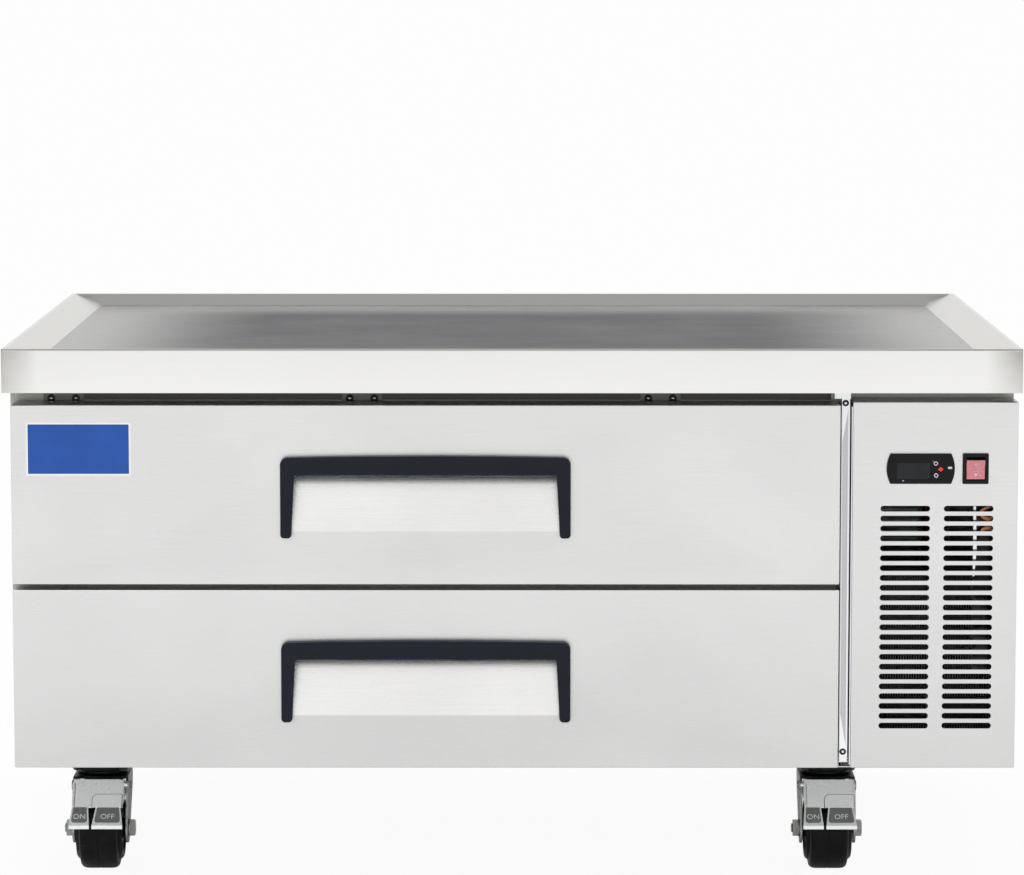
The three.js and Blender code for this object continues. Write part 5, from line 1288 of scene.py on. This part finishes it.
def brake_pedal(name, place):
    """Stamped pedal: a sloped plate with folded cheeks, an ON tab, and an OFF tab on its lapped plate."""
    node = name + "_brake_pedal"
    w = PEDAL_HALF
    rise = PEDAL_TOP - PEDAL_FOOT
    on_plate = on_slope(atan2(-rise.x, rise.y))

    def laid(outline, depth, edge, lift, segments=2, matrix=on_plate):
        return turned(moved(prism(outline, depth, edge, segments), z=lift), matrix)

    length = rise.length
    # The sloped plate, the lap on it, black lines round the lap and along the plate's left side that are
    # painted shade, and bright strips along the sides that are painted highlight on its folds
    plate = laid(rounded(-w, -1 * MM, w, length, mm(0.5, 0.5, 6, 3)), PEDAL_STEEL, 0.5 * MM, -PEDAL_STEEL, 3)
    lap = rounded(-6.5 * MM, -1 * MM, w - 1 * MM, 17 * MM, mm(0.4, 0.4, 1, 7), 8)
    lap = laid(lap, 0.9 * MM, 0.35 * MM, -0.2 * MM)
    groove = rounded(-7.1 * MM, -1 * MM, w - 0.4 * MM, 17.6 * MM, mm(0.4, 0.4, 1, 7.4), 8)
    seam = rounded(-w + 2.3 * MM, 0, -w + 2.9 * MM, length - 6 * MM)
    lines = [laid(outline, 0.25 * MM, 0.08 * MM, -0.12 * MM) for outline in (groove, seam)]
    folds = [rounded(x, start, x + 3 * MM, length - 4 * MM, 1.4 * MM, 4)
             for x, start in ((-w - 0.6 * MM, 0), (w - 2.4 * MM, 17.5 * MM))]
    folds = [laid(outline, 1.7 * MM, 0.7 * MM, -0.7 * MM, 3) for outline in folds]
    cheek = fillet([
        *mm((-38, 113), (-31.5, 109), (-31.5, 99), (-44, 92)),
        (PEDAL_FOOT.x + 1.5 * MM, PEDAL_FOOT.y + 1 * MM), (PEDAL_TOP.x + 1 * MM, PEDAL_TOP.y),
    ], 3 * MM, 5)
    cheeks = [turned(prism(cheek, PEDAL_STEEL, 0.5 * MM), FACE_RIGHT, x) for x in (-w, w - PEDAL_STEEL)]
    ends = (-w - 3.4 * MM, w - 0.2 * MM)
    pins = [moved(rod(4 * MM, 3.6 * MM, matrix=FACE_RIGHT), x, *PEDAL_PIN) for x in ends]
    split = -w + 2 * w * ON_SHARE
    tabs = {"ON": (-w - 3 * MM, split), "OFF": (split + 3 * MM, w + 1.5 * MM)}
    shape = joined(plate, lap, *(pedal_tab(*sides) for sides in tabs.values()), *cheeks, *pins)
    add_piece(name + "_pedal_pressing", moved(shape, *place), "caster_zinc", node, True)
    # Bright strips along the plate's sides: painted highlight on its folds.
    add_piece(name + "_pedal_folds", moved(joined(*folds), *place), "bright_trim", node)
    # Black lines round the lap and along the left side: painted shade at their edges.
    add_piece(name + "_lap_line", moved(joined(*lines), *place), "caster_black", node)
    on_tab = on_slope(-atan2(TAB_RUN, TAB_DROP))
    for words, (x0, x1) in tabs.items():
        x, half = (x0 + x1) / 2, (x1 - x0) / 2 - 2.3 * MM
        letters = turned(moved(lettering(words, 10 * MM, 0.7 * MM), x, -15 * MM, 0.25 * MM), on_tab)
        add_piece(f"{name}_{words}_letters", moved(letters, *place), "bright_trim", node)
        # The tabs' faces take the dark zinc: painted shade.
        outline = rounded(x - half, -23.6 * MM, x + half, -0.6 * MM, mm(4, 4, 1, 1))
        face = tapered(laid(outline, 0.3 * MM, 0.15 * MM, -0.08 * MM, matrix=on_tab), x)
        add_piece(f"{name}_{words}_face", moved(face, *place), "caster_zinc", node, look="tab_zinc")


def caster(name, braked):
    """One caster: plate, swivel cups, fork, wheel, bolt and, in front, its brake pedal."""
    place = (*middle(name + "_caster_plate")[:2], 0)
    caster_plate(name, place)
    caster_fork(name, place, braked)
    caster_wheel(name)
    caster_bolt(name)
    if braked:
        brake_pedal(name, place)


# Machinery

GUARD_INSET = 146 * MM
CONDENSER_TOP = 390 * MM
CONDENSER_DEPTH = 50 * MM
COIL_END = 1.5 * MM
TUBE_ROW = 22 * MM
FIN_PITCH = 3.2 * MM
FIN_STEEL = 0.35 * MM
CAN_RADIUS = 72 * MM
HUB_RADIUS = 22 * MM
HUB_HALF = 9 * MM
BLADES = 5
BLADE_STEEL = 1.4 * MM


def coil_guard():
    """Angle plate behind the right column of slots, with two loops of thin copper tube clipped to it."""
    low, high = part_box("grille_panel")
    left, right = low.x + GUARD_INSET, high.x - 2.4 * MM
    top, bottom = high.z - 128 * MM, high.z - 330 * MM
    back = low.y + 24 * MM
    outline = fillet([
        (left, back - 14 * MM), (left + 1.6 * MM, back - 14 * MM), (left + 1.6 * MM, back - 1.5 * MM),
        (right - 1.5 * MM, back - 1.5 * MM), (right - 1.5 * MM, back - 12 * MM), (right, back - 12 * MM),
        (right, back), (left, back),
    ], mm(0.6, 0.6, 1, 1, 0.3, 0.3, 2, 2), 4)
    plate = moved(prism(outline, top - bottom, 0.2 * MM), z=bottom)
    # The guard takes the near-black steel: painted shade.
    add_piece("coil_guard", plate, "galvanised_sheet", "grille_panel", look="guard_steel")
    # A bright strip along the guard's front edge stands for its lit edge: painted highlight.
    edge = prism(fillet(mm((0, -86), (2, -86), (4.6, -52), (3, 0), (0, 0)), 0.5 * MM), 1.2 * MM, 0.3 * MM)
    edge = turned(edge, FACE_FRONT, left + 1.4 * MM, back - 14 * MM, top)
    add_piece("coil_guard_edge", edge, "bright_trim", "grille_panel")
    first, second, third = (high.z - SLOT_FIRST_DROP - row * SLOT_PITCH - 1.2 * MM for row in range(3))
    start, end = left + 9 * MM, right - 5 * MM
    points = [
        (end, first + 2 * MM), (start + 8 * MM, first), (start + 2 * MM, first - 6 * MM),
        (start + 8 * MM, second), (end - 8 * MM, second), (end - 2 * MM, second - 6 * MM),
        (end - 8 * MM, third), (start + 6 * MM, third - 2 * MM), (start + 1 * MM, third - 9 * MM),
    ]
    coil = tube([(x, back - 6.5 * MM, z) for x, z in points], 3.9 * MM)
    add_piece("coil_loops", coil, "copper_tube", "grille_panel", crease=60)


def compressor():
    """Welded black can on a base plate with four rubber feet and two copper stubs."""
    low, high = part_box("compressor")
    x, y, _ = middle("compressor")
    base, top = low.z + 14 * MM, high.z - 20 * MM
    seam = base + 99 * MM
    r, lip = CAN_RADIUS, CAN_RADIUS + 3 * MM
    can = lathe(fillet([
        (0, base), (r * 0.75, base), (r, base + 20 * MM), (r, seam), (lip, seam), (lip, seam + 8 * MM),
        (r, seam + 8 * MM), (r * 0.98, top - 34 * MM), (r * 0.6, top - 4 * MM), (0, top),
    ], mm(0, 12, 14, 1, 1, 1, 1, 16, 30, 0), 6))
    half = (high.x - low.x) / 2 - 2 * MM
    plate = moved(prism(rounded(-half, -half, half, half, 10 * MM), 3 * MM, 0.6 * MM), z=base - 3 * MM)
    reach = (12 * MM - half, half - 12 * MM)
    foot = fillet(mm((0, 0), (9, 0), (11, 11), (0, 11)), mm(0, 1.5, 1.5, 0), 3)
    feet = [moved(lathe(foot, SMALL_ROUND), across, along, low.z) for across in reach for along in reach]
    shape = moved(joined(can, plate, *feet), x, y)
    add_piece("compressor_can", shape, "compressor_black", "compressor", True)
    start = top - 40 * MM
    stubs = [moved(rod(5 * MM, high.z - start), side * 30 * MM, z=start) for side in (-1, 1)]
    add_piece("compressor_stubs", moved(joined(*stubs), x, y), "copper_tube", "compressor")


def finned_coil(node, top, depth, tubing):
    """Coil of thin fins between end plates, with rows of copper tubes through them."""
    low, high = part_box(node)
    run = high.x - low.x - 2 * COIL_END
    count = int(run / FIN_PITCH)
    fin = rounded(low.y + 1 * MM, low.z + 2 * MM, low.y + depth - 1 * MM, top - 2 * MM)
    plate = rounded(low.y, low.z, low.y + depth, top)
    strip = rounded(low.x, low.y, high.x, low.y + depth)
    spots = [low.x + COIL_END + k * run / count for k in range(1, count)]
    fins = [turned(prism(fin, FIN_STEEL, 0), FACE_RIGHT, x) for x in spots]
    ends = [turned(prism(plate, COIL_END, 0.3 * MM), FACE_RIGHT, x) for x in (low.x, high.x - COIL_END)]
    strips = [moved(prism(strip, COIL_END, 0.3 * MM), z=z) for z in (low.z, top - COIL_END)]
    add_piece(node + "_fins", joined(*fins, *ends, *strips), "coil_fins", node, True)
    length, z = high.x - low.x - 6 * MM, low.z + 14 * MM
    tubes = [
        moved(rod(4 * MM, length, 16, FACE_RIGHT), low.x + 3 * MM, low.y + depth * share, z + k * TUBE_ROW)
        for k in range(int((top - low.z - 20 * MM) / TUBE_ROW)) for share in (0.27, 0.73)
    ]
    add_piece(node + "_tubes", joined(*tubes), "copper_tube", node, crease=50, look=tubing)


def discharge_line():
    """The condenser's solid without its core: the copper line that leads out of it."""
    low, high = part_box("condenser")
    core = rounded(low.x - MM, low.y - MM, high.x + MM, low.y + CONDENSER_DEPTH + MM)
    core = moved(prism(core, CONDENSER_TOP - low.z, 0), z=low.z - MM)
    add_piece("discharge_line", boolean(cad_copy("condenser"), core), "copper_tube", "condenser", crease=50)


def rotor(node):
    """Fan: a rounded hub and swept, twisted blades."""
    low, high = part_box(node)
    radius = (high.x - low.x) / 2
    r, half = HUB_RADIUS, HUB_HALF
    hub = fillet([(0, -half), (r, -half), (r, half), (0, half)], mm(0, 1, 4, 0))
    grid = []
    for share in (i / 8 for i in range(9)):
        r = HUB_RADIUS - 1 * MM + (radius * 0.96 - HUB_RADIUS) * share
        half = radius * (0.2 + 0.12 * sin(pi * share)) * (1 if share < 0.9 else 0.9)
        pitch = radians(32 - 10 * share)
        line = []
        for across in (k / 3 - 1 for k in range(7)):
            angle = half * across * cos(pitch) / r + 0.25 * share
            camber = 2 * MM * (1 - across ** 2)
            line.append((r * sin(angle), half * across * sin(pitch) * 0.8 + camber, r * cos(angle)))
        grid.append(line)
    blades = [
        turned(thickened(skinned(grid), BLADE_STEEL), Matrix.Rotation(2 * pi * b / BLADES, 4, "Y"))
        for b in range(BLADES)
    ]
    shape = moved(joined(lathe(hub, 64, FACE_FRONT), *blades), *middle(node))
    add_piece(node + "_rotor", shape, "fan_black", node, True, crease=50)


def machinery():
    for node in ("unit_tray", "fan_shroud", "evaporator_housing"):
        keep_shape(node, fold=0.8 * MM, edge=0.15 * MM)
    keep_shape("electrical_box")
    compressor()
    coil_guard()
    finned_coil("condenser", CONDENSER_TOP, CONDENSER_DEPTH, "coil_black")
    discharge_line()
    low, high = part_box("evaporator")
    finned_coil("evaporator", high.z, high.y - low.y, "copper_tube")
    rotor("condenser_fan")
    rotor("evaporator_fan")
    lines = cad_copy("refrigerant_lines")
    add_piece("copper_lines", lines, "copper_tube", "refrigerant_lines", True, crease=50)


# Stage

FLOOR_RADIUS = 400
WORLD_LIGHT = 0.86
LOW_TONE = 0.92
SIDE_TONE = 0.42
CAMERA_PLACE = (0.0087, -5.5945, 1.1582)
CAMERA_DOWN = 6.491  # degrees below the horizon
CAMERA_LEFT = 0.0951
FOCAL_PIXELS = 4328
PHOTO_WIDTH = 1024
SENSOR = 36


def seen_share(tree, seen, mirrored):
    """One share for camera rays, one for mirror and glass rays, and 0 for light that falls on things."""
    path = added(tree, "ShaderNodeLightPath").outputs
    total = calculated(tree, "MULTIPLY", path["Is Camera Ray"], seen)
    for name in ("Is Glossy Ray", "Is Transmission Ray"):
        total = calculated(tree, "MAXIMUM", total, calculated(tree, "MULTIPLY", path[name], mirrored))
    return total


def floor():
    """Pale floor that keeps the shadow, nearly white to the camera and in reflections."""
    bm = bmesh.new()
    bmesh.ops.create_circle(bm, cap_ends=True, radius=FLOOR_RADIUS, segments=ROUND)
    ground = placed("floor", bm)
    material = bpy.data.materials.new("pale_floor")
    material.use_nodes = True
    tree = material.node_tree
    tree.nodes.clear()
    diffuse = added(tree, "ShaderNodeBsdfDiffuse", {"Color": (0.94, 0.94, 0.94, 1)}).outputs[0]
    glow = added(tree, "ShaderNodeEmission", {"Strength": 1.0}).outputs[0]
    mix = added(tree, "ShaderNodeMixShader", {0: seen_share(tree, 0.93, 0.2), 1: diffuse, 2: glow})
    added(tree, "ShaderNodeOutputMaterial", {"Surface": mix.outputs[0]})
    ground.data.materials.append(material)


def surroundings():
    """Studio that is white round about, and grey at its sides and high behind, with an even light."""
    scene.world = bpy.data.worlds.new("studio")
    scene.world.use_nodes = True
    tree = scene.world.node_tree
    place = added(tree, "ShaderNodeTexCoord").outputs["Generated"]
    x, y, z = added(tree, "ShaderNodeSeparateXYZ", {0: place}).outputs
    beside = ramp(tree, calculated(tree, "ABSOLUTE", x), 0, 1, 0.3, 0.85, True)
    behind = calculated(
        tree, "MULTIPLY", ramp(tree, z, 0, 1, 0.28, 0.6, True), ramp(tree, y, 0, 1, -0.35, 0.1, True))
    tone = ramp(tree, calculated(tree, "MAXIMUM", beside, behind), LOW_TONE, SIDE_TONE, 0, 1, True)
    strength = added(tree, "ShaderNodeMix", {"Factor": seen_share(tree, 1, 1), "A": WORLD_LIGHT, "B": tone})
    seen = added(tree, "ShaderNodeLightPath").outputs["Is Camera Ray"]
    shown = added(tree, "ShaderNodeMix", {"Factor": seen, "A": strength.outputs[0], "B": 1})
    background = tree.nodes["Background"].inputs
    background["Color"].default_value = (1, 1, 1, 1)
    tree.links.new(shown.outputs[0], background["Strength"])


def soft_light(name, place, aim, size, power):
    data = bpy.data.lights.new(name, "AREA")
    data.shape = "RECTANGLE"
    data.size, data.size_y = size
    data.energy = power
    lamp = bpy.data.objects.new(name, data)
    lamp.location = place
    lamp.rotation_euler = (Vector(aim) - Vector(place)).to_track_quat("-Z", "Y").to_euler()
    scene.collection.objects.link(lamp)


def camera():
    data = bpy.data.cameras.new("camera")
    data.sensor_width = SENSOR
    data.lens = FOCAL_PIXELS * SENSOR / PHOTO_WIDTH
    data.clip_end = 2 * FLOOR_RADIUS
    eye = bpy.data.objects.new("camera", data)
    eye.location = CAMERA_PLACE
    eye.rotation_euler = (radians(90 - CAMERA_DOWN), 0, radians(CAMERA_LEFT))
    scene.collection.objects.link(eye)
    scene.camera = eye


def dress_solids():
    """Gives the solids that stay in view, or are only seen opened up, their finishes."""
    for node, solid in frame["nodes"].items():
        for slot in solid.material_slots:
            slot.material = LOOKS[slot_of(node)]


camera()
dress_solids()
worktop()
cabinet()
drawers()
trim_strip()
front_panel()
controller()
rocker_switch()
for corner in ("front_left", "front_right", "rear_left", "rear_right"):
    caster(corner, corner.startswith("front"))
machinery()
floor()
surroundings()
soft_light("key", (-2.4, -3.0, 3.4), (0, 0, 0.4), (2.6, 1.8), 34)
soft_light("fill", (3.2, -2.2, 2.4), (0, 0, 0.4), (2.4, 1.8), 14)
soft_light("top", (0, 0.6, 3.6), (0, 0, 0.4), (3.0, 2.0), 14)
scene.view_settings.view_transform = "Standard"
